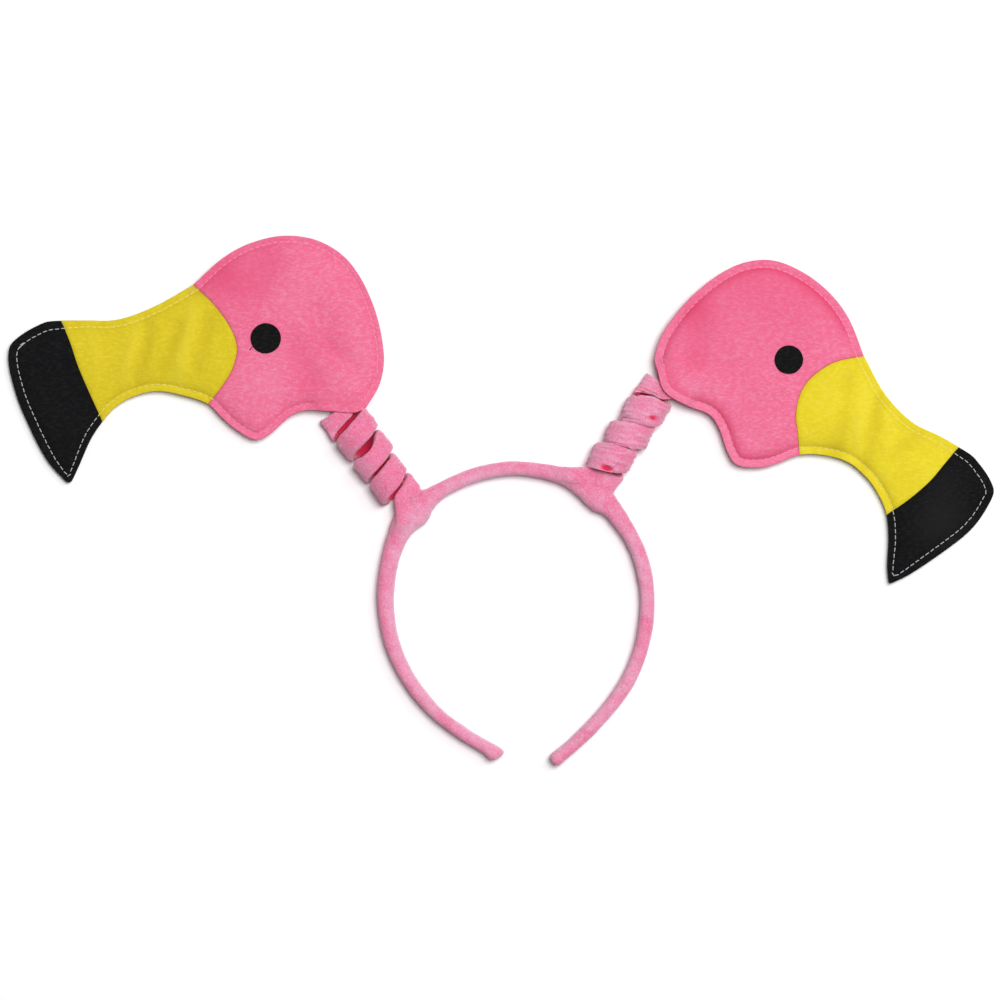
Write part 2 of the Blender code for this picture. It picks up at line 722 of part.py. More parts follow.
def centre_over_origin(root):
    """Move everything so that the middle of its underside is the origin."""
    bpy.context.view_layer.update()
    corners = []
    for thing in bpy.context.scene.objects:
        if thing.type == "MESH":
            corners += [thing.matrix_world @ vertex.co for vertex in thing.data.vertices]
    low = Vector([min(corner[axis] for corner in corners) for axis in range(3)])
    high = Vector([max(corner[axis] for corner in corners) for axis in range(3)])
    root.location = (-(low.x + high.x) / 2, -(low.y + high.y) / 2, -low.z)
    bpy.context.view_layer.update()


def main():
    """Build the bopper from the band outwards."""
    clear_scene()
    root = add_empty("bopper", (0.0, 0.0, 0.0))
    build_band(root)
    for side in (LEFT, RIGHT):
        build_collar(side, root)
        build_spring(side, root)
        build_head(side, root)
    centre_over_origin(root)


main()
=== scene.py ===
"""Looks of the flamingo head bopper: felt heads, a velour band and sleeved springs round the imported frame.

All lengths are in metres, except where a docstring says millimetres. Shapes are drawn in the ring's own
plane, whose origin is the middle of the band's ring, and moved to RING_CENTRE at the end. +X is to the right
of the picture, +Y up it and +Z towards the viewer.
"""

import functools
import logging
import math
from dataclasses import dataclass, field
from enum import Enum
from typing import Any, NamedTuple, Sequence

import bmesh
import bpy
import numpy as np
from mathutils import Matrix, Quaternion, Vector, noise
from mathutils.geometry import delaunay_2d_cdt


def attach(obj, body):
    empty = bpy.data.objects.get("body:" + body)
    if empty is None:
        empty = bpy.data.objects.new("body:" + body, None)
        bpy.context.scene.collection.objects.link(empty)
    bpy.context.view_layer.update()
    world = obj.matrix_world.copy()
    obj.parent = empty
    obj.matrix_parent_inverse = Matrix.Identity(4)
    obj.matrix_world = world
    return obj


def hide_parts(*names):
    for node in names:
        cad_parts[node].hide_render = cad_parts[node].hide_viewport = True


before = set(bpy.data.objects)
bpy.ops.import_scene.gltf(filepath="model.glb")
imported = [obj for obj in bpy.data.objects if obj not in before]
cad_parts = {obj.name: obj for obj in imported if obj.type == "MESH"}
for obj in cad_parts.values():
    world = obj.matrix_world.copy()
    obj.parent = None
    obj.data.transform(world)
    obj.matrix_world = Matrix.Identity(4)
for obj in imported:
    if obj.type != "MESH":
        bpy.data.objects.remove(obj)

LOG = logging.getLogger("bopper")

MM = 0.001
RING_CENTRE = Vector((0.00684, -0.048249, 0.0))
GAP = 0.0003

Array = np.ndarray


class Hand(Enum):
    """The side of the picture that a head is on."""

    LEFT = -1
    RIGHT = 1

    @property
    def label(self) -> str:
        """The side's name as the nodes have it."""
        return self.name.lower()


class Shell(Enum):
    """The two sides of a head: the front one faces the viewer and the back one the table."""

    FRONT = 1
    BACK = -1


# Small helpers


def ease(share: float | Array) -> float | Array:
    """0 to 1 with level ends, for numbers and arrays."""
    held = np.clip(share, 0.0, 1.0)
    return held * held * (3.0 - 2.0 * held)


def new_object(name: str, mesh: bpy.types.Mesh) -> bpy.types.Object:
    """Links a mesh into the scene as an object at the origin."""
    thing = bpy.data.objects.new(name, mesh)
    bpy.context.scene.collection.objects.link(thing)
    return thing


def mesh_from(name: str, points: Sequence[Sequence[float]], faces: Sequence[Sequence[int]]) -> bpy.types.Mesh:
    """Makes a smooth mesh whose faces point outwards.

    Args:
        name: Name of the mesh.
        points: Places of its vertices.
        faces: Vertex numbers of its faces.

    Returns:
        The mesh, with its normals recalculated.
    """
    mesh = bpy.data.meshes.new(name)
    mesh.from_pydata([tuple(point) for point in points], [], [tuple(face) for face in faces])
    work = bmesh.new()
    work.from_mesh(mesh)
    bmesh.ops.recalc_face_normals(work, faces=work.faces)
    if work.calc_volume(signed=True) < 0:
        bmesh.ops.reverse_faces(work, faces=work.faces)
    work.to_mesh(mesh)
    work.free()
    mesh.shade_smooth()
    return mesh


def plain_mesh(thing: bpy.types.Object) -> None:
    """Applies an object's modifiers: its mesh becomes the evaluated one and the modifiers go."""
    graph = bpy.context.evaluated_depsgraph_get()
    graph.update()
    mesh = bpy.data.meshes.new_from_object(thing.evaluated_get(graph), depsgraph=graph)
    mesh.name = thing.name
    thing.modifiers.clear()
    thing.data = mesh


def vertex_array(mesh: bpy.types.Mesh) -> Array:
    """Places of a mesh's vertices as rows."""
    flat = np.empty(len(mesh.vertices) * 3)
    mesh.vertices.foreach_get("co", flat)
    return flat.reshape(-1, 3)


def normal_array(mesh: bpy.types.Mesh) -> Array:
    """Normals of a mesh's vertices as rows."""
    flat = np.empty(len(mesh.vertices) * 3)
    mesh.vertex_normals.foreach_get("vector", flat)
    return flat.reshape(-1, 3)


def put_vertices(mesh: bpy.types.Mesh, places: Array) -> None:
    """Writes vertex places back to a mesh."""
    mesh.vertices.foreach_set("co", places.astype(np.float32).ravel())
    mesh.update()


def keep_numbers(mesh: bpy.types.Mesh, name: str, values: Sequence[float]) -> None:
    """Keeps a number at each vertex, for the material to read."""
    made = mesh.attributes.new(name, "FLOAT", "POINT")
    made.data.foreach_set("value", np.asarray(values, np.float32))


def lumps(places: Array, size: float, seed: float) -> Array:
    """Soft noise from -1 to 1 at each place, with features of about the given size."""
    start = Vector((seed, 2.0 * seed, 3.0 * seed))
    return np.array([noise.noise(Vector(place) / size + start) for place in places])


class Ripple(NamedTuple):
    """Soft unevenness of a surface or its tone: how strong it is and the size of its lumps."""

    strength: float
    size: float

    def at(self, places: Array, seed: float) -> Array:
        """Its part at each place."""
        return self.strength * lumps(places, self.size, seed)


class Groove(NamedTuple):
    """A narrow groove or line: its depth and half its width."""

    depth: float
    width: float

    def at(self, distance: Array) -> Array:
        """Its depth at distances from its middle."""
        return self.depth * np.exp(-(distance / self.width) ** 2)


def hermite(knots: Sequence[Vector], sharp: Sequence[bool], step: float, closed: bool) -> list[list[Vector]]:
    """Points of a smooth curve through knots, as one list for each stretch between two of them.

    Args:
        knots: Points that the curve passes.
        sharp: For each knot, whether the curve breaks there.
        step: Rough distance between the points.
        closed: Whether the last knot joins the first.

    Returns:
        One list of points for each stretch. A list starts on its knot and leaves out the next one.
    """
    count = len(knots)
    stretches = []
    for index in range(count if closed else count - 1):
        here = knots[index]
        there = knots[(index + 1) % count]
        before = knots[index - 1] if closed or index else here
        beyond = knots[(index + 2) % count] if closed or index + 2 < count else there
        leave = (there - before) / 2
        reach = (beyond - here) / 2
        if sharp[index] or (not closed and index == 0):
            leave = there - here
        if sharp[(index + 1) % count] or (not closed and index + 2 == count):
            reach = there - here
        span = (there - here).length
        leave = leave.normalized() * span
        reach = reach.normalized() * span
        steps = max(1, round(span / step))
        points = []
        for number in range(steps):
            t = number / steps
            points.append(
                here * (2 * t ** 3 - 3 * t ** 2 + 1) + leave * (t ** 3 - 2 * t ** 2 + t)
                + there * (3 * t ** 2 - 2 * t ** 3) + reach * (t ** 3 - t ** 2)
            )
        stretches.append(points)
    return stretches


def loft(rings: Sequence[Sequence[Vector]]) -> tuple[list[Vector], list[tuple[int, ...]]]:
    """Points and faces of a closed body through rings of equal length, with a fan on each end."""
    count = len(rings[0])
    points = [point for ring in rings for point in ring]
    faces: list[tuple[int, ...]] = []
    for row in range(len(rings) - 1):
        for index in range(count):
            after = (index + 1) % count
            start = row * count
            faces.append((start + index, start + after, start + count + after, start + count + index))
    for row in (0, len(rings) - 1):
        points.append(sum(rings[row], Vector((0.0, 0.0, 0.0))) / count)
        for index in range(count):
            faces.append((row * count + index, row * count + (index + 1) % count, len(points) - 1))
    return points, faces


# Shader expressions


class Wire:
    """A shader socket, or a number, that Python's operators work on by adding Math nodes."""

    def __init__(self, book: "NodeBook", value: Any) -> None:
        """Wraps a socket or number of one material's tree."""
        self.book = book
        self.value = value

    def _math(self, operation: str, *others: Any) -> "Wire":
        """Adds one Math node on this value and the others."""
        return self.book.math(operation, self, *others)

    def __add__(self, other: Any) -> "Wire":
        """Sum."""
        return self._math("ADD", other)

    __radd__ = __add__

    def __sub__(self, other: Any) -> "Wire":
        """Difference."""
        return self._math("SUBTRACT", other)

    def __rsub__(self, other: Any) -> "Wire":
        """Difference, the other way round."""
        return self.book.math("SUBTRACT", other, self)

    def __mul__(self, other: Any) -> "Wire":
        """Product."""
        return self._math("MULTIPLY", other)

    __rmul__ = __mul__

    def __neg__(self) -> "Wire":
        """The value with its sign turned."""
        return self._math("MULTIPLY", -1.0)

    def clamped(self) -> "Wire":
        """The value held between 0 and 1."""
        return self._math("MAXIMUM", 0.0)._math("MINIMUM", 1.0)

    def smooth(self, low: float, high: float) -> "Wire":
        """0 below low, 1 above high and a soft step between."""
        made = self.book.node(
            "ShaderNodeMapRange", {"interpolation_type": "SMOOTHSTEP"},
            {"Value": self, "From Min": low, "From Max": high, "To Min": 0.0, "To Max": 1.0},
        )
        return Wire(self.book, made.outputs["Result"])


class NodeBook:
    """The node tree of one new material, written by expressions."""

    def __init__(self, name: str) -> None:
        """Starts an empty material of that name."""
        self.material = bpy.data.materials.new(name)
        self.material.use_nodes = True
        self.tree = self.material.node_tree
        self.tree.nodes.clear()

    def node(self, kind: str, settings: dict[str, Any], inputs: dict[Any, Any]) -> bpy.types.Node:
        """Adds a node.

        Args:
            kind: The node's type.
            settings: Its properties, which are set first.
            inputs: Values or links for its sockets, by name or number.

        Returns:
            The node.
        """
        made = self.tree.nodes.new(kind)
        for name, value in settings.items():
            setattr(made, name, value)
        for socket, value in inputs.items():
            if isinstance(value, Wire):
                value = value.value
            if isinstance(value, bpy.types.NodeSocket):
                self.tree.links.new(value, made.inputs[socket])
            else:
                made.inputs[socket].default_value = value
        return made

    def math(self, operation: str, *values: Any) -> Wire:
        """Adds a Math node on one to three values."""
        made = self.node("ShaderNodeMath", {"operation": operation}, dict(enumerate(values)))
        return Wire(self, made.outputs[0])

    @functools.cached_property
    def place(self) -> bpy.types.NodeSocket:
        """The surface's place in the object."""
        return self.node("ShaderNodeTexCoord", {}, {}).outputs["Object"]

    def attribute(self, name: str) -> Wire:
        """A number that the mesh keeps at each vertex, or 0 where it has none."""
        return Wire(self, self.node("ShaderNodeAttribute", {"attribute_name": name}, {}).outputs["Fac"])

    def stretched(self, scale: Sequence[float], turn: float) -> bpy.types.NodeSocket:
        """The surface's place, turned about Z by an angle in degrees and scaled along each axis."""
        made = self.node(
            "ShaderNodeMapping", {},
            {"Vector": self.place, "Rotation": (0.0, 0.0, math.radians(turn)), "Scale": tuple(scale)},
        )
        return made.outputs["Vector"]

    def noise(self, scale: float, detail: float, rough: float, vector: Any = None) -> Wire:
        """Fractal noise, from about 0 to 1, at so many features a metre."""
        made = self.node(
            "ShaderNodeTexNoise", {},
            {"Vector": vector or self.place, "Scale": scale, "Detail": detail, "Roughness": rough},
        )
        return Wire(self, made.outputs["Fac"])

    def mix(self, share: Any, first: Any, second: Any) -> bpy.types.NodeSocket:
        """Mixes two colours."""
        made = self.node(
            "ShaderNodeMix", {"data_type": "RGBA", "clamp_factor": True},
            {"Factor": share, "A": first, "B": second},
        )
        return made.outputs[2]

    def bump(self, height: Wire, depth: float, strength: float) -> bpy.types.NodeSocket:
        """A Bump node on a height from 0 to 1 that stands for depth metres."""
        made = self.node("ShaderNodeBump", {}, {"Height": height, "Distance": depth, "Strength": strength})
        return made.outputs["Normal"]

    def finish(self, shader: bpy.types.NodeSocket) -> bpy.types.Material:
        """Links the surface and returns the material."""
        self.node("ShaderNodeOutputMaterial", {}, {"Surface": shader})
        return self.material


def rgba(color: Sequence[float]) -> tuple[float, float, float, float]:
    """An opaque colour."""
    return (color[0], color[1], color[2], 1.0)


@dataclass(frozen=True)
class FeltFinish:
    """Pressed felt: mottled colour, streaks of fibre, a fine matted relief, and painted light and shade from
    the mesh.
    """

    name: str
    base: tuple[float, float, float]
    deep: tuple[float, float, float]
    # Colour of the painted shade.
    shaded: tuple[float, float, float]
    pale: tuple[float, float, float]
    streak_turn: float
    sheen: float
    relief: float
    cloud_scale: float = 45.0
    mottle_scale: float = 430.0
    fibre_scale: tuple[float, float, float] = (420.0, 1000.0, 800.0)
    grain_scale: float = 1500.0

    def material(self) -> bpy.types.Material:
        """Builds the felt's material."""
        book = NodeBook(self.name)
        tone = book.attribute("tone")
        cloud = book.noise(self.cloud_scale, 3.0, 0.55).smooth(0.30, 0.70)
        mottle = book.noise(self.mottle_scale, 3.0, 0.65).smooth(0.34, 0.66)
        fibre = book.noise(1.0, 3.0, 0.6, book.stretched(self.fibre_scale, self.streak_turn))
        grain = book.noise(self.grain_scale, 3.0, 0.7)
        color = book.mix(cloud * 0.45, rgba(self.base), rgba(self.deep))
        color = book.mix(mottle * 0.75, color, rgba(self.deep))
        color = book.mix(fibre.smooth(0.42, 0.70) * 0.65, color, rgba(self.pale))
        color = book.mix(grain.smooth(0.44, 0.66) * 0.5, color, rgba(self.deep))
        # Painted shade in the darker colour where the mesh's tone is below 0, painted light in the pale
        # colour where it is above.
        color = book.mix((-tone).clamped(), color, rgba(self.shaded))
        color = book.mix(tone.clamped(), color, rgba(self.pale))
        height = fibre * 0.25 + mottle * 0.25 + grain * 0.5
        normal = book.bump(height, self.relief, 0.55)
        shader = book.node(
            "ShaderNodeBsdfPrincipled", {},
            {
                "Base Color": color, "Roughness": 0.95, "Specular IOR Level": 0.18, "Normal": normal,
                "Sheen Weight": self.sheen, "Sheen Roughness": 0.45, "Sheen Tint": rgba(self.pale),
            },
        )
        return book.finish(shader.outputs["BSDF"])


@dataclass(frozen=True)
class VelourFinish:
    """Short-pile velour: brushed patches, a pale shimmer, a fine tuft, and painted light and shade from the
    mesh.
    """

    name: str
    base: tuple[float, float, float]
    deep: tuple[float, float, float]
    pale: tuple[float, float, float]
    silver: tuple[float, float, float]
    # Colour of the painted shade on the coil's inner side and in its dimples.
    shade_crimson: tuple[float, float, float]
    brushed_scale: float = 95.0
    stroke_scale: tuple[float, float, float] = (330.0, 900.0, 600.0)
    stroke_turn: float = 35.0
    tuft_scale: float = 1300.0
    relief: float = 0.0006
    sheen_tint: tuple[float, float, float] = (1.0, 0.80, 0.90)

    def material(self) -> bpy.types.Material:
        """Builds the velour's material."""
        book = NodeBook(self.name)
        tone = book.attribute("tone")
        brushed = book.noise(self.brushed_scale, 5.0, 0.7).smooth(0.36, 0.64)
        strokes = book.noise(1.0, 4.0, 0.7, book.stretched(self.stroke_scale, self.stroke_turn))
        strokes = strokes.smooth(0.42, 0.66)
        tuft = book.noise(self.tuft_scale, 4.0, 0.85)
        color = book.mix(brushed * 0.55, rgba(self.base), rgba(self.deep))
        # Painted shade in the deep colour where the mesh's tone is below 0, painted light in the pale colour
        # where it is above.
        color = book.mix((-tone).clamped(), color, rgba(self.deep))
        color = book.mix(tone.clamped(), color, rgba(self.pale))
        color = book.mix(strokes * 0.40, color, rgba(self.pale))
        color = book.mix((1.0 - tuft).smooth(0.48, 0.64) * 0.65, color, rgba(self.deep))
        color = book.mix(tuft.smooth(0.50, 0.66) * 0.65, color, rgba(self.silver))
        # Painted shade: crimson on the coil's inner side and in its dimples, where the mesh's attribute marks
        # them.
        color = book.mix(book.attribute("painted_shade").clamped(), color, rgba(self.shade_crimson))
        normal = book.bump(tuft * 0.7 + strokes * 0.3, self.relief, 0.8)
        shader = book.node(
            "ShaderNodeBsdfPrincipled", {},
            {
                "Base Color": color, "Roughness": 0.9, "Specular IOR Level": 0.15, "Normal": normal,
                "Sheen Weight": 0.65, "Sheen Roughness": 0.4, "Sheen Tint": rgba(self.sheen_tint),
            },
        )
        return book.finish(shader.outputs["BSDF"])


@dataclass(frozen=True)
class ThreadFinish:
    """Sewing thread: a plain colour with a fine twist."""

    name: str
    base: tuple[float, float, float]
    shade: float = 0.72
    twist_scale: float = 2400.0
    relief: float = 0.00015

    def material(self) -> bpy.types.Material:
        """Builds the thread's material."""
        book = NodeBook(self.name)
        twist = book.noise(self.twist_scale, 2.0, 0.5)
        shade = tuple(self.shade * part for part in self.base)
        color = book.mix(twist.smooth(0.4, 0.7) * 0.5, rgba(self.base), rgba(shade))
        shader = book.node(
            "ShaderNodeBsdfPrincipled", {},
            {"Base Color": color, "Roughness": 0.6, "Normal": book.bump(twist, self.relief, 0.5)},
        )
        return book.finish(shader.outputs["BSDF"])


@dataclass(frozen=True)
class FloorFinish:
    """The pale table."""

    name: str
    base: tuple[float, float, float]

    def material(self) -> bpy.types.Material:
        """Builds the floor's material."""
        book = NodeBook(self.name)
        shader = book.node("ShaderNodeBsdfPrincipled", {}, {"Base Color": rgba(self.base), "Roughness": 0.9})
        return book.finish(shader.outputs["BSDF"])


FELT_PINK = FeltFinish(
    name="pink_felt", base=(0.785, 0.176, 0.318), deep=(0.770, 0.125, 0.240), shaded=(0.700, 0.070, 0.165),
    pale=(0.800, 0.285, 0.430), streak_turn=100.0, sheen=0.06, relief=0.0005,
)
FELT_YELLOW = FeltFinish(
    name="yellow_felt", base=(0.660, 0.530, 0.016), deep=(0.600, 0.465, 0.015), shaded=(0.430, 0.320, 0.012),
    pale=(0.740, 0.610, 0.040), streak_turn=80.0, sheen=0.02, relief=0.0003,
)
# The same yellow felt made brighter for the right head: a painted-light copy, as that head catches more
# light.
FELT_YELLOW_PAINTED_LIT = FeltFinish(
    name="yellow_felt_painted_lit", base=(0.750, 0.615, 0.018), deep=(0.680, 0.540, 0.017),
    shaded=(0.480, 0.360, 0.014), pale=(0.790, 0.670, 0.060), streak_turn=60.0, sheen=0.02, relief=0.0003,
)
FELT_BLACK = FeltFinish(
    name="black_felt", base=(0.0036, 0.0036, 0.0044), deep=(0.0024, 0.0024, 0.0030),
    shaded=(0.0015, 0.0015, 0.0018), pale=(0.0130, 0.0130, 0.0140), streak_turn=60.0, sheen=0.02, relief=0.0005,
)
VELOUR_PINK = VelourFinish(
    name="pink_velour", base=(0.825, 0.235, 0.400), deep=(0.808, 0.120, 0.272), pale=(0.835, 0.395, 0.555),
    silver=(0.835, 0.500, 0.640), shade_crimson=(0.720, 0.022, 0.090),
)
THREAD_PINK = ThreadFinish("pink_thread", (0.84, 0.290, 0.420))
THREAD_CREAM = ThreadFinish("cream_thread", (0.78, 0.70, 0.19))
THREAD_WHITE = ThreadFinish("white_thread", (0.50, 0.50, 0.52))
THREAD_BLACK = ThreadFinish("black_thread", (0.012, 0.010, 0.011))
FLOOR_WHITE = FloorFinish("table_white", (0.93, 0.93, 0.93))


@functools.cache
def finish_material(finish: FeltFinish | VelourFinish | ThreadFinish | FloorFinish) -> bpy.types.Material:
    """One material for each finish."""
    return finish.material()


# Geometry node trees


class GeometryTree:
    """A geometry node tree with named inputs, written by one method for each kind of step."""

    def __init__(self, name: str, sizes: dict[str, tuple[str, Any]]) -> None:
        """Starts a tree.

        Args:
            name: Name of the tree.
            sizes: For each further input, its socket type and default value.
        """
        self.group = bpy.data.node_groups.new(name, "GeometryNodeTree")
        self.group.interface.new_socket(name="Geometry", in_out="INPUT", socket_type="NodeSocketGeometry")
        self.identifiers = {}
        for label, (kind, default) in sizes.items():
            made = self.group.interface.new_socket(name=label, in_out="INPUT", socket_type=kind)
            if default is not None:
                made.default_value = default
            self.identifiers[label] = made.identifier
        self.group.interface.new_socket(name="Geometry", in_out="OUTPUT", socket_type="NodeSocketGeometry")
        self.source = self.group.nodes.new("NodeGroupInput")

    def node(self, kind: str, settings: dict[str, Any], inputs: dict[Any, Any]) -> bpy.types.Node:
        """Adds a node: its type, its properties, and values or links for its sockets."""
        made = self.group.nodes.new(kind)
        for name, value in settings.items():
            setattr(made, name, value)
        for socket, value in inputs.items():
            if isinstance(value, bpy.types.NodeSocket):
                self.group.links.new(value, made.inputs[socket])
            else:
                made.inputs[socket].default_value = value
        return made

    def math(self, operation: str, *values: Any) -> bpy.types.NodeSocket:
        """Adds a Math node on one to three values."""
        return self.node("ShaderNodeMath", {"operation": operation}, dict(enumerate(values))).outputs[0]

    def close(self, geometry: bpy.types.NodeSocket, material: bpy.types.NodeSocket) -> None:
        """Ends the tree in Realize Instances and Set Material."""
        real = self.node("GeometryNodeRealizeInstances", {}, {"Geometry": geometry}).outputs["Geometry"]
        painted = self.node("GeometryNodeSetMaterial", {}, {"Geometry": real, "Material": material})
        out = self.group.nodes.new("NodeGroupOutput")
        self.group.links.new(painted.outputs["Geometry"], out.inputs["Geometry"])

    def run(self, thing: bpy.types.Object, values: dict[str, Any]) -> None:
        """Puts the tree on an object with its inputs set, and makes the result a plain mesh."""
        modifier = thing.modifiers.new(self.group.name, "NODES")
        modifier.node_group = self.group
        for label, value in values.items():
            modifier[self.identifiers[label]] = value
        plain_mesh(thing)


STITCH_WAVER = 0.1


@functools.cache
def stitch_tree() -> GeometryTree:
    """The tree that lays one rounded stitch on each vertex, along the vector in its 'way' attribute."""
    tree = GeometryTree("stitch_row", {
        "Length": ("NodeSocketFloat", 2.7 * MM),
        "Thickness": ("NodeSocketFloat", 0.5 * MM),
        "Waver": ("NodeSocketFloat", STITCH_WAVER),
        "Seed": ("NodeSocketInt", 1),
        "Material": ("NodeSocketMaterial", None),
    })
    sizes = tree.source.outputs
    radius = tree.math("MULTIPLY", sizes["Thickness"], 0.5)
    ball = tree.node("GeometryNodeMeshUVSphere", {}, {"Segments": 8, "Rings": 6, "Radius": radius})
    place = tree.node("GeometryNodeInputPosition", {}, {}).outputs[0]
    height = tree.node("ShaderNodeSeparateXYZ", {}, {0: place}).outputs["Z"]
    half = tree.math("SUBTRACT", tree.math("MULTIPLY", sizes["Length"], 0.5), radius)
    reach = tree.math("MULTIPLY", tree.math("SIGN", height), half)
    offset = tree.node("ShaderNodeCombineXYZ", {}, {"Z": reach}).outputs[0]
    stitch = tree.node("GeometryNodeSetPosition", {}, {"Geometry": ball.outputs["Mesh"], "Offset": offset})
    way = tree.node("GeometryNodeInputNamedAttribute", {"data_type": "FLOAT_VECTOR"}, {"Name": "way"})
    drift = tree.node(
        "FunctionNodeRandomValue", {"data_type": "FLOAT_VECTOR"},
        {"Min": (-1.0, -1.0, -0.3), "Max": (1.0, 1.0, 0.3), "Seed": sizes["Seed"]},
    ).outputs["Value"]
    scaled = tree.node("ShaderNodeVectorMath", {"operation": "SCALE"}, {0: drift, "Scale": sizes["Waver"]})
    leaning = tree.node(
        "ShaderNodeVectorMath", {"operation": "ADD"}, {0: way.outputs["Attribute"], 1: scaled.outputs[0]},
    )
    turn = tree.node("FunctionNodeAlignRotationToVector", {"axis": "Z"}, {"Vector": leaning.outputs[0]})
    laid = tree.node(
        "GeometryNodeInstanceOnPoints", {},
        {
            "Points": sizes["Geometry"], "Instance": stitch.outputs["Geometry"],
            "Rotation": turn.outputs["Rotation"],
        },
    ).outputs["Instances"]
    tree.close(laid, sizes["Material"])
    return tree


def stitch_row(name: str, places: Sequence[Vector], ways: Sequence[Vector], finish: ThreadFinish,
               length: float, thickness: float, seed: int) -> bpy.types.Object:
    """Sews a row of stitches.

    Args:
        name: Name of the piece.
        places: Middle of each stitch.
        ways: Direction of each stitch.
        finish: Finish of its thread.
        length: Length of a stitch.
        thickness: Thickness of the thread.
        seed: Seed of the small turns of the stitches.

    Returns:
        The piece, as a plain mesh.
    """
    mesh = bpy.data.meshes.new(name)
    mesh.from_pydata([tuple(place) for place in places], [], [])
    way = mesh.attributes.new("way", "FLOAT_VECTOR", "POINT")
    way.data.foreach_set("vector", [part for vector in ways for part in vector])
    thing = new_object(name, mesh)
    stitch_tree().run(thing, {
        "Length": length, "Thickness": thickness, "Waver": STITCH_WAVER, "Seed": seed,
        "Material": finish_material(finish),
    })
    thing.data.shade_smooth()
    return thing


# Band


class Knot(NamedTuple):
    """A place of the band's middle line in band widths, and the share of the full thickness there."""

    across: float
    up: float
    thickness: float


class Swell(NamedTuple):
    """How far the cloth stands off the band at a distance from its top."""

    distance: float
    outer: float
    inner: float
    front: float


class Tip(NamedTuple):
    """A section near a tip: its distance from the tip, its share of the full section and how far it lies
    outwards. Lengths are in millimetres."""

    back: float
    size: float
    outward: float


class TailPoint(NamedTuple):
    """A place where a spring's sleeve runs out over the band: its distance from the band's top, how far it
    lies outwards and its height."""

    distance: float
    outward: float
    height: float


@dataclass
class BandSide:
    """One half of the band, from its top to a tip."""

    hand: Hand
    knots: tuple[Knot, ...]
    tip: tuple[Tip, ...]
    collar: tuple[Swell, ...]
    tail: tuple[TailPoint, ...]
    # Tone at the band's middle and how much paler it grows towards the ring's inside: partly the pile's lean,
    # partly painted light and shade.
    pale: tuple[float, float]
    width: float = 0.1304
    thickness: float = 0.0072
    height: float = 0.011
    top: Knot = Knot(0.0, 0.485, 0.93)
    squareness: float = 2.9
    tip_height: float = 0.35
    section_points: int = 32
    look: int = 4
    rows: list[tuple[float, Vector, float]] = field(default_factory=list)

    def __post_init__(self) -> None:
        """Draws the middle line."""
        knots = (self.top,) + self.knots
        places = [Vector((knot.across, knot.up)) * self.width for knot in knots]
        mirrored = Vector((-places[1].x, places[1].y))
        stretches = hermite([mirrored] + places, [False] * (len(places) + 1), MM, False)[1:]
        distance = 0.0
        for index, points in enumerate(stretches):
            for step, point in enumerate(points):
                share = step / len(points)
                thick = knots[index].thickness * (1.0 - share) + knots[index + 1].thickness * share
                if self.rows:
                    distance += (point - self.rows[-1][1]).length
                self.rows.append((distance, point, thick * self.thickness))
        distance += (places[-1] - self.rows[-1][1]).length
        self.rows.append((distance, places[-1], knots[-1].thickness * self.thickness))

    @property
    def length(self) -> float:
        """Distance from the top to the tip."""
        return self.rows[-1][0]

    def at(self, distance: float) -> tuple[Vector, Vector, float]:
        """Middle line, outward direction and thickness at a distance from the top."""
        rows = self.rows
        index = 1
        while index < len(rows) - 1 and rows[index][0] < distance:
            index += 1
        before, point, thick = rows[index - 1]
        after, beyond, thick_beyond = rows[index]
        share = (distance - before) / (after - before)
        middle = point.lerp(beyond, share)
        if index > self.look:
            back = rows[index - self.look][1]
        else:
            across = rows[self.look + 1 - index][1]
            back = Vector((-across.x, across.y))
        ahead = rows[min(index + self.look - 1, len(rows) - 1)][1]
        along = (ahead - back).normalized()
        hand = self.hand.value
        outward = Vector((-along.y * hand, along.x, 0.0)).normalized()
        return Vector((middle.x * hand, middle.y, 0.0)), outward, thick + (thick_beyond - thick) * share

    def section(self, distance: float, size: float = 1.0, outer: float = 0.0, inner: float = 0.0,
                front: float = 0.0) -> list[Vector]:
        """Rounded section of the band.

        Args:
            distance: Distance from the band's top.
            size: Share of the full section.
            outer: How far the cloth stands off on the outer side.
            inner: How far it stands off on the inner side.
            front: How far it stands off in front.

        Returns:
            The section's points, in the ring's frame.
        """
        place, outward, thick = self.at(distance)
        reach = thick / 2 * size
        middle = self.height / 2
        half = middle * (self.tip_height + (1.0 - self.tip_height) * size)
        power = 2.0 / self.squareness
        points = []
        for index in range(self.section_points):
            turn = 2 * math.pi * index / self.section_points
            out = math.copysign(abs(math.cos(turn)) ** power, math.cos(turn))
            high = math.copysign(abs(math.sin(turn)) ** power, math.sin(turn))
            out *= reach + (outer if out > 0 else inner)
            high *= half + (front if high > 0 else 0.0)
            points.append(place + outward * out + Vector((0.0, 0.0, middle + high)))
        return points

    def over(self, point: TailPoint) -> Vector:
        """A tail point's place in the ring's frame."""
        place, outward, _ = self.at(point.distance)
        return place + outward * point.outward + Vector((0.0, 0.0, point.height))


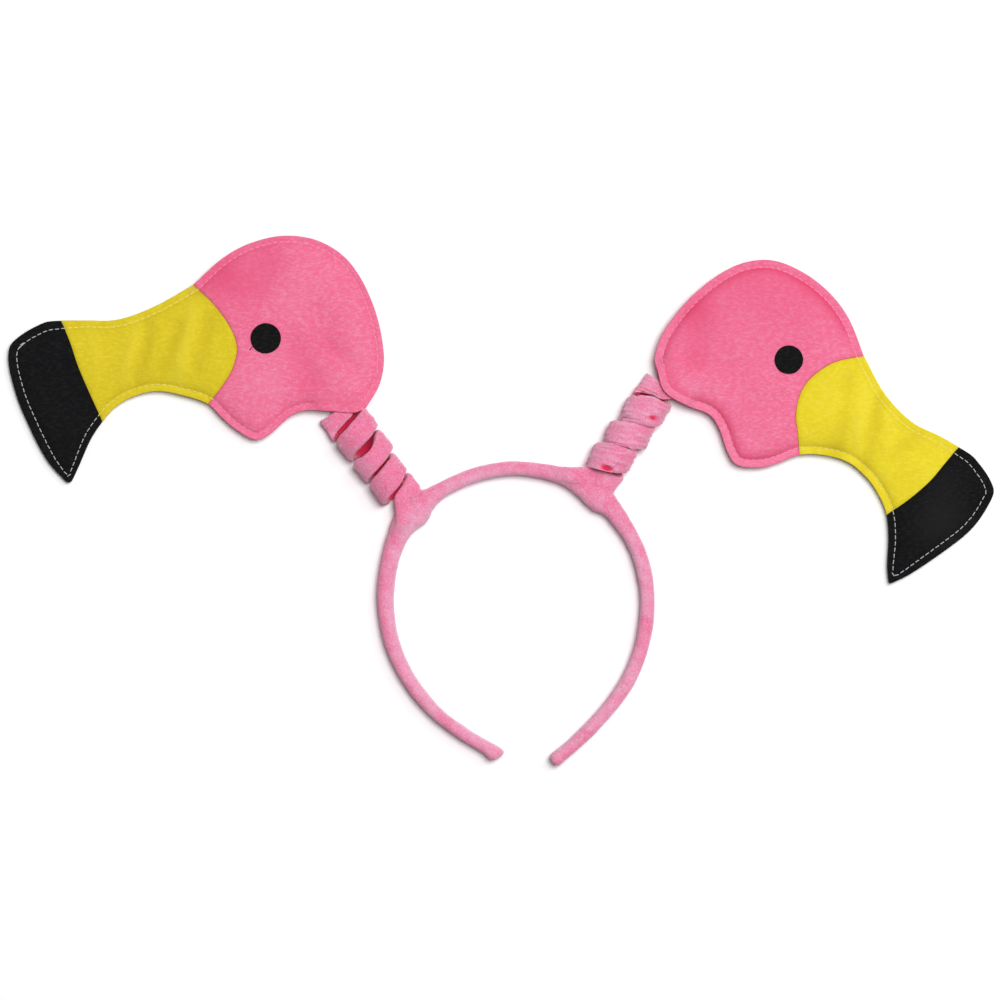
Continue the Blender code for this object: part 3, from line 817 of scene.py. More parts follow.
LEFT_BAND = BandSide(
    hand=Hand.LEFT,
    knots=(
        Knot(0.156, 0.457, 0.94), Knot(0.297, 0.385, 1.04), Knot(0.380, 0.297, 1.10),
        Knot(0.437, 0.195, 1.14), Knot(0.466, 0.042, 1.10), Knot(0.451, -0.110, 0.98),
        Knot(0.395, -0.252, 0.94), Knot(0.302, -0.375, 0.88), Knot(0.181, -0.471, 0.82),
        Knot(0.047, -0.547, 0.86),
    ),
    tip=(
        Tip(7.2, 1.04, 0.1), Tip(5.4, 1.20, 0.6), Tip(3.9, 1.22, 0.7), Tip(2.6, 1.08, 0.4),
        Tip(1.4, 0.84, -0.2), Tip(0.5, 0.56, -0.8), Tip(0.0, 0.26, -1.2),
    ),
    collar=(
        Swell(0.036, 0.0, -0.0002, 0.0), Swell(0.041, 0.0006, 0.0004, 0.0003),
        Swell(0.046, 0.0024, 0.0014, 0.0008), Swell(0.0500, 0.0034, 0.0026, 0.0010),
        Swell(0.0542, 0.0028, 0.0028, 0.0010), Swell(0.0556, 0.0040, 0.0021, 0.0008),
        Swell(0.0580, 0.0038, 0.0012, 0.0004), Swell(0.0620, 0.0028, 0.0005, 0.0002),
        Swell(0.0680, 0.0012, 0.0002, 0.0), Swell(0.0750, 0.0004, 0.0, 0.0),
        Swell(0.0840, 0.0, -0.0002, 0.0),
    ),
    tail=(
        TailPoint(0.0590, 0.0026, 0.0118), TailPoint(0.0645, 0.0016, 0.0098),
        TailPoint(0.0715, 0.0008, 0.0076), TailPoint(0.0790, 0.0002, 0.0060),
    ),
    pale=(0.42, 0.50),
)
RIGHT_BAND = BandSide(
    hand=Hand.RIGHT,
    knots=(
        Knot(0.156, 0.457, 0.94), Knot(0.275, 0.394, 1.00), Knot(0.352, 0.327, 1.03),
        Knot(0.436, 0.195, 1.00), Knot(0.472, 0.043, 0.96), Knot(0.462, -0.112, 0.96),
        Knot(0.413, -0.260, 0.95), Knot(0.325, -0.387, 0.90), Knot(0.218, -0.497, 0.86),
        Knot(0.131, -0.569, 0.84),
    ),
    tip=(
        Tip(5.0, 1.03, 0.0), Tip(3.2, 1.10, 0.1), Tip(2.0, 1.08, 0.2), Tip(1.1, 0.96, 0.2),
        Tip(0.45, 0.74, 0.1), Tip(0.1, 0.44, 0.0),
    ),
    collar=(
        Swell(0.021, 0.0, -0.0002, 0.0), Swell(0.027, 0.0004, 0.0002, 0.0003),
        Swell(0.034, 0.0010, 0.0012, 0.0008), Swell(0.039, 0.0014, 0.0023, 0.0010),
        Swell(0.0435, 0.0020, 0.0027, 0.0010), Swell(0.0465, 0.0023, 0.0017, 0.0006),
        Swell(0.0490, 0.0016, 0.0006, 0.0003), Swell(0.0540, 0.0009, 0.0002, 0.0),
        Swell(0.0600, 0.0004, 0.0, 0.0), Swell(0.0680, 0.0, -0.0002, 0.0),
    ),
    tail=(
        TailPoint(0.0262, 0.0028, 0.0115), TailPoint(0.0205, 0.0013, 0.0095),
        TailPoint(0.0140, 0.0005, 0.0075), TailPoint(0.0070, 0.0, 0.0058),
    ),
    pale=(0.33, 0.28),
)


# Springs


class Wave(NamedTuple):
    """How the sleeve lies at so many turns from the band: its shift towards the head, its width, how far it
    bulges from the coil, how many degrees its edge towards the head leans outwards, and its tone, from -1 for
    deep to 1 for pale, which paints sheen on the lobes on one side and shade on those on the other. Lengths
    are in millimetres."""

    turn: float
    along: float
    width: float
    bulge: float
    lean: float
    tone: float


class Hole(NamedTuple):
    """A place where the edge of the sleeve gapes: turns from the band, reach in turns, and depth in
    millimetres, which is positive on the edge towards the head."""

    turn: float
    reach: float
    depth: float

    def bite(self, turn: float, ahead: float) -> float:
        """How far the edge is drawn in at so many turns and at a place across the width."""
        along = max(0.0, 1.0 - ((turn - self.turn) / self.reach) ** 2)
        return self.depth * MM * along * max(0.0, ahead * math.copysign(1.0, self.depth)) ** 2.4


class SleeveRow(NamedTuple):
    """One station of a sleeve: its place, the way its flat side faces, its width and its thickness."""

    place: Vector
    facing: Vector
    width: float
    thickness: float
    tone: float = 0.0
    turn: float = -1.0


class Dimple(NamedTuple):
    """A small dent in the sleeve's outer side, painted crimson as the shade of an opening: turns from the
    band, place across the width from -1 to 1 towards the head, reach in turns, breadth as a share of half the
    width, and depth in millimetres."""

    turn: float
    across: float
    reach: float
    breadth: float
    depth: float

    def share(self, turn: float, ahead: float) -> float:
        """1 in the opening and 0 away from it."""
        away = ((turn - self.turn) / self.reach) ** 2 + ((ahead - self.across) / self.breadth) ** 2
        return math.exp(-away ** 3)


def sleeve_profile(front: int, back: int) -> tuple[tuple[float, float], ...]:
    """Points round a soft flat section, each as its place across and through it, from -1 to 1."""
    points = []
    for count, side in ((front, 1.0), (back, -1.0)):
        for index in range(count):
            share = (2 * index + 1) / count - 1.0
            wide = -side * math.copysign(1.0 - (1.0 - abs(share)) ** 1.6, share)
            points.append((wide, side * (1.0 - abs(wide) ** 4.8) ** 0.31))
    return tuple(points)


SLEEVE_PROFILE = sleeve_profile(26, 14)


@dataclass
class Spring:
    """A coil in its flattened velour sleeve, from the band up to a head."""

    band: BandSide
    foot: Vector
    waves: tuple[Wave, ...]
    holes: tuple[Hole, ...]
    dimples: tuple[Dimple, ...]
    lean: float
    across: float
    turn_gap: float
    skew: float
    straight: float
    neck_reach: float
    wrinkle: float
    seam_side: float
    seam_lift: float
    seam_tone: float
    seed: float
    turns: int = 4
    width: float = 0.0094
    thickness: float = 0.0038
    end_width: float = 0.0074
    end_thickness: float = 0.0025
    end_rise: float = 0.0034
    cad_end_width: float = 0.0070
    cad_end_thickness: float = 0.0024
    in_head: float = 0.0075
    foot_lift: float = 0.0
    turn_steps: int = 72
    start_angle: float = math.radians(125)
    overlap: float = math.radians(25)
    full_angle: float = 1.5 * math.pi
    bend_step: int = 6
    tail_steps: int = 30
    tail_step: float = 0.0007
    tail_rise: float = 0.0022
    tail_narrows: float = 0.4
    end_thins: float = 0.3
    calm_rows: int = 24
    lane_length: float = 0.017
    lane_width: float = 0.13
    dents: Ripple = Ripple(0.00028, 0.0045)
    # How strongly light and shade are painted along the wrinkles.
    lane_shading: float = 1200.0
    seam_place: float = 0.86
    seam_width: float = 0.05

    @property
    def label(self) -> str:
        """The side's name."""
        return self.band.hand.label

    @property
    def axis(self) -> Vector:
        """Direction of the coil's axis, from the band to the head."""
        return Vector((math.cos(math.radians(self.lean)), math.sin(math.radians(self.lean)), 0.0))

    @property
    def bend(self) -> float:
        """Radius of the flat turn that leads the sleeve into the head."""
        return self.cad_end_width / 2 + 0.0004

    @property
    def top(self) -> float:
        """Height of the sleeve's middle at both ends of the coil."""
        return self.cad_end_thickness / 2 + 2 * self.end_rise

    def wave(self, turn: float) -> Wave:
        """The wave table's row at a number of turns, eased between its rows."""
        rows = self.waves
        if turn <= rows[0].turn:
            return rows[0]
        for before, after in zip(rows, rows[1:]):
            if turn <= after.turn:
                share = float(ease((turn - before.turn) / (after.turn - before.turn)))
                return Wave(*(a + (b - a) * share for a, b in zip(before, after)))
        return rows[-1]

    def coil_row(self, angle: float) -> SleeveRow:
        """Station of the coil at an angle, counted from the band's end, in the spring's own frame."""
        end_angle = 2 * math.pi * self.turns
        pitch = self.width + self.turn_gap
        from_end = min(max(angle, 0.0), end_angle - min(angle, end_angle))
        full = ease(from_end / self.full_angle)
        head_side = ease((end_angle - angle) / math.pi)
        thickness = self.end_thickness + (self.thickness - self.end_thickness) * full
        wave = self.wave(angle / (2 * math.pi))
        width = self.end_width + (wave.width * MM - self.end_width) * head_side
        sideways = (self.across - self.thickness) / 2 + wave.bulge * MM
        rise = self.end_rise + ((self.across - self.thickness) / 2 - self.end_rise) * full
        start = self.straight + self.bend
        along = start + pitch * angle / (2 * math.pi) + self.skew * math.sin(angle) * full + wave.along * MM
        height = self.cad_end_thickness / 2 + rise + rise * math.cos(angle)
        facing = Vector((0.0, -math.sin(angle) / sideways, math.cos(angle) / rise))
        place = Vector((along, -self.bend - sideways * math.sin(angle), height - self.top))
        lean = math.radians(wave.lean) * full
        facing = facing.normalized() * math.cos(lean) - Vector((math.sin(lean), 0.0, 0.0))
        return SleeveRow(place, facing, width, thickness, wave.tone, angle / (2 * math.pi))

    def to_ring(self, row: SleeveRow) -> SleeveRow:
        """A station moved from the spring's frame to the ring's."""
        turn = Quaternion((0.0, 0.0, 1.0), math.radians(self.lean))
        place = row.place.copy()
        facing = row.facing.copy()
        place.rotate(turn)
        facing.rotate(turn)
        return row._replace(place=self.foot + place, facing=facing)

    def coil_rows(self) -> list[SleeveRow]:
        """Stations of the whole coil and of its end in the head, in the ring's frame."""
        end_angle = 2 * math.pi * self.turns
        steps = round((end_angle - self.start_angle) / (2 * math.pi) * self.turn_steps)
        rows = [
            self.coil_row(self.start_angle + (end_angle - self.start_angle) * index / steps)
            for index in range(steps + 1)
        ]
        finish = rows[-1].place
        up = Vector((0.0, 0.0, 1.0))
        for degrees in range(2 * self.bend_step, 91, self.bend_step):
            turn = math.radians(degrees)
            place = finish + Vector((1.0 - math.cos(turn), -math.sin(turn), 0.0)) * self.bend
            rows.append(SleeveRow(place, up, self.end_width, self.end_thickness))
        last = rows[-1].place
        for share in (0.35, 0.7, 1.0):
            place = last + Vector(((self.neck_reach + self.in_head) * share, 0.0, 0.0))
            thickness = self.end_thickness * (1.0 - self.end_thins * share)
            rows.append(SleeveRow(place, up, self.end_width, thickness))
        return [self.to_ring(row) for row in rows]

    def tail_rows(self) -> list[SleeveRow]:
        """Stations of the sleeve's last turn at the band and of its run out over it, in the ring's frame."""
        over = self.start_angle + self.overlap
        steps = self.tail_steps
        rows = [self.to_ring(self.coil_row(over * (1.0 - index / steps))) for index in range(steps + 1)]
        knots = [row.place for row in rows[-2:]] + [self.band.over(point) for point in self.band.tail]
        stretches = hermite(knots, [False] * len(knots), self.tail_step, False)
        run = [point for stretch in stretches[1:] for point in stretch][1:] + [knots[-1]]
        for index, row in enumerate(rows):
            share = ease(1.0 - abs(index / steps - 0.85) / 0.6)
            rows[index] = row._replace(place=row.place + Vector((0.0, 0.0, self.foot_lift * share)))
        last = rows[-1]
        up = Vector((0.0, 0.0, 1.0))
        for index, point in enumerate(run):
            share = (index + 1) / len(run)
            facing = last.facing.lerp(up, min(1.0, 3 * share)).normalized()
            width = last.width * (1.0 - self.tail_narrows * ease(1.6 * share))
            rows.append(SleeveRow(point, facing, width, self.thickness + self.tail_rise * ease(share)))
        return rows

    def ways(self, rows: Sequence[SleeveRow], index: int) -> tuple[Vector, Vector]:
        """The way that the sleeve faces at a station, and the way across it, both square to its run."""
        forward = (rows[min(index + 1, len(rows) - 1)].place - rows[max(index - 1, 0)].place).normalized()
        facing = rows[index].facing
        facing = (facing - forward * facing.dot(forward)).normalized()
        return facing, forward.cross(facing)

    def ring(self, rows: Sequence[SleeveRow], index: int, grown: float = 0.0) -> list[Vector]:
        """Soft flat section of the sleeve at a station.

        Args:
            rows: The sleeve's stations.
            index: Number of the station.
            grown: How much wider and thicker than stated.

        Returns:
            The section's points.
        """
        row = rows[index]
        facing, across = self.ways(rows, index)
        half = row.width / 2 + grown
        deep = row.thickness / 2 + grown
        return [
            row.place + across * (wide * half) + facing * (thick * deep) for wide, thick in SLEEVE_PROFILE
        ]

    def wrinkles(self, point: Vector, wide: float, ahead: float, outside: bool,
                 length: float) -> tuple[float, float]:
        """How the cloth is drawn up at a point.

        Args:
            point: The point, in the ring's frame.
            wide: Its place across the section, from -1 to 1.
            ahead: The same, counted towards the head.
            outside: Whether it is on the sleeve's outer side.
            length: Length of the sleeve up to it.

        Returns:
            How far the cloth stands off there, and how much paler it is: a paler seam, and painted light and
            shade on the wrinkles.
        """
        spot = Vector((5.0 * wide + self.seed, length / self.lane_length, self.seed + 4.0 * outside))
        lane = noise.noise(spot)
        lane = math.exp(-(lane / self.lane_width) ** 2) - 0.35
        dent = noise.noise(point / self.dents.size + Vector((self.seed, 0.0, 0.0)))
        seam = (ahead + self.seam_place * self.seam_side) / self.seam_width
        seam = math.exp(-seam ** 2) if outside else 0.0
        lift = self.wrinkle * lane + self.dents.strength * dent + self.seam_lift * seam
        # Painted light and shade along the wrinkles, and a paler seam line.
        return lift, self.seam_tone * seam + self.lane_shading * lane * self.wrinkle

    def build_coil(self) -> bpy.types.Object:
        """Makes the coil's sleeve with its wrinkles and openings, and puts it in the part's frame."""
        rows = self.coil_rows()
        length = 0.0
        rings = []
        tones = []
        painted_shades = []
        for index, row in enumerate(rows):
            facing, across = self.ways(rows, index)
            towards_head = 1.0 if across.dot(self.axis) > 0 else -1.0
            if index:
                length += (row.place - rows[index - 1].place).length
            calm = min(1.0, (len(rows) - 1 - index) / self.calm_rows)
            ring = []
            for (wide, thick), point in zip(SLEEVE_PROFILE, self.ring(rows, index)):
                ahead = wide * towards_head
                outside = thick > 0
                lift, pale = self.wrinkles(point, wide, ahead, outside, length)
                moved = point + (point - row.place).normalized() * (calm * lift)
                for hole in self.holes:
                    moved -= across * (towards_head * hole.bite(row.turn, ahead))
                # The inner side, which faces the other turns, and the dimples are painted crimson as painted
                # shade.
                painted_shade = 1.0 if thick < -0.4 else 0.0
                for dimple in self.dimples if outside else ():
                    share = dimple.share(row.turn, ahead)
                    moved -= facing * (dimple.depth * MM * share)
                    painted_shade = max(painted_shade, share)
                moved.z = max(moved.z, 0.0)
                ring.append(moved)
                # The stations' tones paint sheen on the lobes on one side and shade on the other; the
                # wrinkles add painted light and shade.
                tones.append(row.tone + pale)
                painted_shades.append(painted_shade)
            rings.append(ring)
        points, faces = loft(rings)
        mesh = mesh_from(self.label + "_sleeve", [point + RING_CENTRE for point in points], faces)
        keep_numbers(mesh, "tone", tones + [0.0, 0.0])
        keep_numbers(mesh, "painted_shade", painted_shades + [0.0, 0.0])
        thing = new_object(self.label + "_sleeve", mesh)
        mesh.materials.append(finish_material(VELOUR_PINK))
        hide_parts(self.label + "_spring")
        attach(thing, "root")
        return thing


LEFT_SPRING = Spring(
    band=LEFT_BAND, foot=Vector((-0.053596, 0.043413, 0.008)), lean=125.4, across=0.0206, turn_gap=0.0027,
    skew=0.0, straight=0.0012, neck_reach=0.0, wrinkle=0.00034, seam_side=1.0, seam_lift=0.0003,
    seam_tone=0.5, seed=3.7,
    waves=(
        # Tones: painted sheen on the pale lobes, painted shade on the deep ones.
        Wave(0.00, -1.0, 8.0, 0.0, 0.0, 0.0), Wave(0.25, -0.2, 8.6, 0.0, 0.0, -0.1),
        Wave(0.50, -0.6, 9.4, 0.0, 0.0, -0.5), Wave(0.75, -1.7, 11.4, -0.9, -1.0, 0.40),
        Wave(1.00, -2.0, 11.4, 0.0, -4.0, -0.45), Wave(1.25, -1.2, 9.4, -0.8, -4.0, -0.90),
        Wave(1.50, -0.6, 9.4, 0.0, 0.0, -0.5), Wave(1.75, -1.0, 10.2, -0.3, 4.0, 0.55),
        Wave(2.00, -1.4, 11.4, 0.0, -3.0, -0.30), Wave(2.25, -0.7, 10.0, 0.3, -4.0, -0.75),
        Wave(2.50, -0.2, 9.4, 0.0, 0.0, -0.5), Wave(2.75, -0.4, 10.4, 0.1, 5.0, 0.55),
        Wave(3.00, -0.7, 11.0, 0.0, -2.0, -0.45), Wave(3.25, -0.2, 10.2, 0.4, -3.0, -0.70),
        Wave(3.50, 0.0, 9.4, 0.0, 0.0, -0.5), Wave(3.75, 0.4, 14.6, 1.0, 3.0, 0.40),
        Wave(4.00, -1.0, 12.2, 0.0, 0.0, -0.30),
    ),
    holes=(Hole(2.02, 0.15, 2.6),),
    dimples=(),
)
RIGHT_SPRING = Spring(
    band=RIGHT_BAND, foot=Vector((0.033394, 0.058208, 0.008)), lean=54.6, across=0.0189, turn_gap=0.0036,
    skew=0.0018, straight=0.0004, neck_reach=-0.0033, wrinkle=0.00075, seam_side=-1.0, seam_lift=0.0001,
    seam_tone=0.1, seed=9.2, foot_lift=0.0026,
    waves=(
        # Tones: painted sheen on the pale lobes, painted shade on the deep ones.
        Wave(0.00, -1.2, 10.4, 0.0, 0.0, 0.10), Wave(0.25, -3.8, 11.8, 0.9, -4.0, -0.35),
        Wave(0.50, -2.4, 11.0, 0.0, 0.0, -0.4), Wave(0.75, -2.2, 12.6, -0.2, 17.0, 0.45),
        Wave(1.00, -2.9, 13.0, 0.2, -2.0, 0.25), Wave(1.25, -2.9, 11.6, -0.4, -12.0, -0.60),
        Wave(1.50, -2.4, 11.0, 0.0, 0.0, -0.4), Wave(1.75, -2.0, 12.8, -0.2, 17.0, 0.50),
        Wave(2.00, -2.3, 12.6, 0.3, -8.0, 0.40), Wave(2.25, -2.8, 11.8, 0.0, -12.0, -0.20),
        Wave(2.50, -2.4, 11.0, 0.0, 0.0, -0.4), Wave(2.75, -1.4, 13.2, -0.2, 15.0, 0.55),
        Wave(3.00, -1.7, 13.8, 0.3, -8.0, 0.50), Wave(3.25, -2.9, 11.2, -0.2, -8.0, -0.15),
        Wave(3.50, -2.0, 10.4, 0.0, 0.0, -0.4), Wave(3.75, -1.2, 14.6, 0.6, 6.0, 0.50),
        Wave(4.00, -2.9, 13.6, 0.0, -4.0, 0.40),
    ),
    holes=(),
    dimples=(Dimple(0.975, -0.74, 0.050, 0.20, 1.2), Dimple(3.068, -0.40, 0.034, 0.17, 1.1)),
)


@dataclass
class VelourBand:
    """The band's cover with the two places where the springs' sleeves are sewn into it."""

    sides: tuple[BandSide, BandSide]
    springs: tuple[Spring, Spring]
    station: float = 0.0011
    tip_run: float = 0.010
    sleeve_grown: float = 0.00012
    voxel: float = 0.00052
    join_reach: float = 0.011
    join_outward: tuple[float, ...] = (0.004, 0.001, 0.0)
    join_height: float = 0.009
    smooth_turns: int = 26
    smooth_all_turns: int = 5
    ruffles: tuple[Ripple, Ripple] = (Ripple(0.00022, 0.011), Ripple(0.00010, 0.0035))
    streaks: Ripple = Ripple(0.55, 0.0042)
    clouds: Ripple = Ripple(0.65, 0.016)
    chunk: int = 4000

    def cover(self) -> list[list[Vector]]:
        """Rings of the band from the left tip over the crown to the right tip."""
        rings = []
        for side in self.sides:
            count = round((side.length - self.tip_run) / self.station)
            half = [side.section((index + 0.5) * self.station) for index in range(count)]
            for tip in side.tip:
                distance = side.length - tip.back * MM
                shift = side.at(distance)[1] * (tip.outward * MM)
                half.append([point + shift for point in side.section(distance, tip.size)])
            rings.append(half)
        left, right = rings
        return left[::-1] + right

    def collar(self, side: BandSide) -> list[list[Vector]]:
        """Rings of the cloth that swells round the band where a spring joins it."""
        rings = []
        swells = side.collar
        for before, after in zip(swells, swells[1:]):
            steps = max(1, round((after.distance - before.distance) / MM))
            for step in range(steps):
                share = ease(step / steps)
                swell = [a + (b - a) * share for a, b in zip(before[1:], after[1:])]
                distance = before.distance + (after.distance - before.distance) * step / steps
                rings.append(side.section(distance, 1.0, *swell))
        return rings

    def joined(self) -> bpy.types.Object:
        """All of the band's velour as one seamless skin."""
        parts = [loft(self.cover())]
        for side in self.sides:
            parts.append(loft(self.collar(side)))
        for spring in self.springs:
            rows = spring.tail_rows()
            parts.append(loft([spring.ring(rows, index, self.sleeve_grown) for index in range(len(rows))]))
        work = bmesh.new()
        for points, faces in parts:
            corners = [work.verts.new(point) for point in points]
            piece = [work.faces.new([corners[index] for index in face]) for face in faces]
            bmesh.ops.recalc_face_normals(work, faces=piece)
        mesh = bpy.data.meshes.new("velour_band")
        work.to_mesh(mesh)
        work.free()
        thing = new_object("velour_band", mesh)
        remesh = thing.modifiers.new("skin", "REMESH")
        remesh.mode = "VOXEL"
        remesh.voxel_size = self.voxel
        remesh.use_smooth_shade = True
        plain_mesh(thing)
        return thing

    def relax(self, mesh: bpy.types.Mesh) -> None:
        """Smooths the skin: lightly all over, and more where sleeves and band meet."""
        places = vertex_array(mesh)
        edges = np.empty(len(mesh.edges) * 2, np.int64)
        mesh.edges.foreach_get("vertices", edges)
        first, second = edges.reshape(-1, 2).T
        joins = [
            side.over(TailPoint(point.distance, outward, self.join_height))
            for side in self.sides
            for point, outward in zip(side.tail, self.join_outward)
        ]
        near = np.zeros(len(places))
        for join in joins:
            away = np.linalg.norm(places - np.array(join), axis=1)
            near = np.maximum(near, 1.0 - away / self.join_reach)
        weight = ease(near * 1.4)
        degree = np.bincount(first, minlength=len(places)) + np.bincount(second, minlength=len(places))
        for turn in range(self.smooth_turns):
            around = np.zeros_like(places)
            for axis in range(3):
                around[:, axis] = np.bincount(first, places[second, axis], len(places))
                around[:, axis] += np.bincount(second, places[first, axis], len(places))
            around /= degree[:, None]
            share = 0.5 * (np.ones(len(places)) if turn < self.smooth_all_turns else weight)
            places = places + (around - places) * share[:, None]
        put_vertices(mesh, places)

    def ruffle(self, mesh: bpy.types.Mesh) -> None:
        """Gives the cloth its soft lumps."""
        places = vertex_array(mesh)
        normals = normal_array(mesh)
        broad, fine = self.ruffles
        lift = broad.at(places, 5.0) + fine.at(places, 8.0)
        places = places + normals * lift[:, None]
        places[:, 2] = np.maximum(places[:, 2], 0.0)
        keep_numbers(mesh, "tone", self.tones(places))
        put_vertices(mesh, places + np.array(RING_CENTRE))

    def tones(self, places: Array) -> Array:
        """How pale the pile is at each place: paler to the ring's inside, partly painted light and shade, in
        long soft streaks.
        """
        tone = np.zeros(len(places))
        for side in self.sides:
            hand = side.hand.value
            chosen = np.flatnonzero(places[:, 0] * hand >= 0)
            middles = np.array([(row[1].x * hand, row[1].y) for row in side.rows])
            along = np.gradient(middles, axis=0)
            along /= np.linalg.norm(along, axis=1)[:, None]
            outward = np.column_stack((-along[:, 1], along[:, 0])) * hand
            for start in range(0, len(chosen), self.chunk):
                part = chosen[start:start + self.chunk]
                away = places[part, None, :2] - middles[None, :, :]
                nearest = np.argmin((away ** 2).sum(axis=2), axis=1)
                out = (away[np.arange(len(part)), nearest] * outward[nearest]).sum(axis=1)
                out /= side.thickness / 2
                # Paler inner side and darker outer side: partly the pile's lean, partly painted light and
                # shade on the sides facing to and from the light.
                tone[part] = side.pale[0] - side.pale[1] * np.clip(out, -1.2, 1.2)
                spots = np.column_stack((out * 0.0035, nearest * 0.0011, np.full(len(part), 0.05 * hand)))
                tone[part] += self.streaks.at(spots, 4.0) + self.clouds.at(places[part], 11.0)
        return np.clip(tone, -0.8, 0.9)

    def build(self) -> bpy.types.Object:
        """Makes the band's cover."""
        thing = self.joined()
        self.relax(thing.data)
        self.ruffle(thing.data)
        thing.data.shade_smooth()
        thing.data.materials.clear()
        thing.data.materials.append(finish_material(VELOUR_PINK))
        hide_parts("headband", "left_wrap", "right_wrap")
        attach(thing, "root")
        return thing


# Heads


class RimKnot(NamedTuple):
    """A place on the rim of the cutting pattern, in head lengths and heights, with the right head's shift
    from it."""

    place: str
    forward: float
    up: float
    sharp: bool
    off_forward: float
    off_up: float


class SeamKnot(NamedTuple):
    """A place on a seam inside the rim, on the same pattern."""

    forward: float
    up: float
    off_forward: float
    off_up: float


class Crease(NamedTuple):
    """A soft fold in the felt: its two ends on the pattern, its width and its height, which is negative in a
    dent. Its height also sets the painted shade in a dent and the painted light on a ridge."""

    forward: float
    up: float
    to_forward: float
    to_up: float
    width: float
    height: float


class Tack(NamedTuple):
    """A fastening stitch: its place on the pattern, its direction in degrees and its thread."""

    forward: float
    up: float
    turn: float
    finish: ThreadFinish


class Patch(NamedTuple):
    """A soft patch of another tone, mostly painted shade and painted highlight and partly uneven felt colour:
    its middle on the pattern, its reach in millimetres and its tone.
    """

    forward: float
    up: float
    reach: float
    tone: float


RIM = (
    RimKnot("nape", 0.001, 0.530, False, 0.0, 0.0),
    RimKnot("neck_back", 0.011, 0.410, False, 0.0, 0.0),
    RimKnot("opening_back", 0.050, 0.308, True, -0.020, 0.065),
    RimKnot("opening_corner", 0.077, 0.291, False, -0.001, 0.015),
    RimKnot("opening_front", 0.151, 0.298, False, 0.0, 0.0),
    RimKnot("throat", 0.212, 0.300, False, 0.0, 0.007),
    RimKnot("chin_hollow", 0.252, 0.274, False, 0.001, 0.002),
    RimKnot("chin", 0.305, 0.204, False, 0.0, 0.0),
    RimKnot("chin_point", 0.342, 0.183, False, 0.0, -0.006),
    RimKnot("jowl", 0.395, 0.226, False, 0.007, -0.013),
    RimKnot("jaw", 0.432, 0.274, False, 0.008, -0.010),
    RimKnot("jaw_corner", 0.467, 0.326, False, 0.012, 0.004),
    RimKnot("under_back", 0.538, 0.362, False, -0.002, 0.012),
    RimKnot("under_middle", 0.605, 0.378, False, 0.0, 0.017),
    RimKnot("under_front", 0.668, 0.355, False, 0.005, 0.017),
    RimKnot("under_bend", 0.716, 0.312, False, 0.008, 0.018),
    RimKnot("tip_seam_low", 0.749, 0.256, False, 0.015, 0.021),
    RimKnot("hook", 0.780, 0.186, False, 0.018, 0.010),
    RimKnot("hook_low", 0.812, 0.078, False, 0.018, 0.014),
    RimKnot("beak_point", 0.836, 0.000, True, 0.020, 0.030),
    RimKnot("outer_low", 0.897, 0.104, False, -0.003, 0.003),
    RimKnot("notch", 0.958, 0.286, False, 0.0, 0.0),
    RimKnot("outer_middle", 0.984, 0.394, False, 0.003, 0.0),
    RimKnot("outer_top", 0.999, 0.510, False, -0.003, 0.0),
    RimKnot("beak_corner", 0.987, 0.574, False, 0.0, 0.0),
    RimKnot("ridge_front", 0.907, 0.650, False, 0.0, -0.005),
    RimKnot("tip_seam_top", 0.859, 0.660, False, -0.006, -0.003),
    RimKnot("ridge_middle", 0.796, 0.661, False, 0.0, 0.0),
    RimKnot("ridge_back", 0.708, 0.664, False, 0.0, -0.004),
    RimKnot("ridge_rise", 0.610, 0.716, False, -0.002, -0.005),
    RimKnot("brow_corner", 0.507, 0.802, True, 0.004, 0.006),
    RimKnot("brow", 0.427, 0.910, False, 0.002, 0.004),
    RimKnot("forehead", 0.353, 0.970, False, 0.0, 0.0),
    RimKnot("crown", 0.260, 0.999, False, 0.0, -0.003),
    RimKnot("crown_back", 0.167, 0.974, False, -0.001, 0.004),
    RimKnot("back", 0.090, 0.890, False, 0.0, 0.002),
    RimKnot("back_low", 0.029, 0.722, False, 0.0, 0.0),
)
FACE_SEAM = (
    SeamKnot(0.454, 0.730, -0.007, 0.0),
    SeamKnot(0.406, 0.630, 0.004, 0.0),
    SeamKnot(0.389, 0.550, 0.015, 0.0),
    SeamKnot(0.401, 0.466, 0.019, 0.0),
    SeamKnot(0.430, 0.394, 0.022, 0.0),
)
TIP_SEAM = (
    SeamKnot(0.834, 0.574, 0.005, 0.0),
    SeamKnot(0.812, 0.478, 0.012, 0.0),
    SeamKnot(0.784, 0.378, 0.014, 0.0),
)
FELTS = {"face": FELT_PINK, "tip": FELT_BLACK}
THREADS = {"face": THREAD_PINK, "beak": THREAD_CREAM, "tip": THREAD_WHITE}
SLOTS = {"face": "felt_pink", "beak": "felt_yellow", "tip": "felt_black"}


def plane_array(points: Sequence[Vector]) -> Array:
    """Flat points as rows of two numbers."""
    return np.array([(point.x, point.y) for point in points])


def line_distance(points: Array, line: Array, closed: bool) -> Array:
    """Distance of each point from a chain of straight lines."""
    start = line if closed else line[:-1]
    end = np.roll(line, -1, axis=0) if closed else line[1:]
    span = end - start
    best = np.full(len(points), np.inf)
    for origin, step in zip(start, span):
        away = points - origin
        share = np.clip((away @ step) / (step @ step), 0.0, 1.0)
        best = np.minimum(best, np.hypot(*(away - share[:, None] * step).T))
    return best


def inside(points: Array, loop: Array) -> Array:
    """Whether each point lies in a closed loop."""
    found = np.zeros(len(points), bool)
    x, y = points.T
    for (ax, ay), (bx, by) in zip(loop, np.roll(loop, -1, axis=0)):
        if ay == by:
            continue
        found ^= ((ay > y) != (by > y)) & (x < ax + (bx - ax) * (y - ay) / (by - ay))
    return found


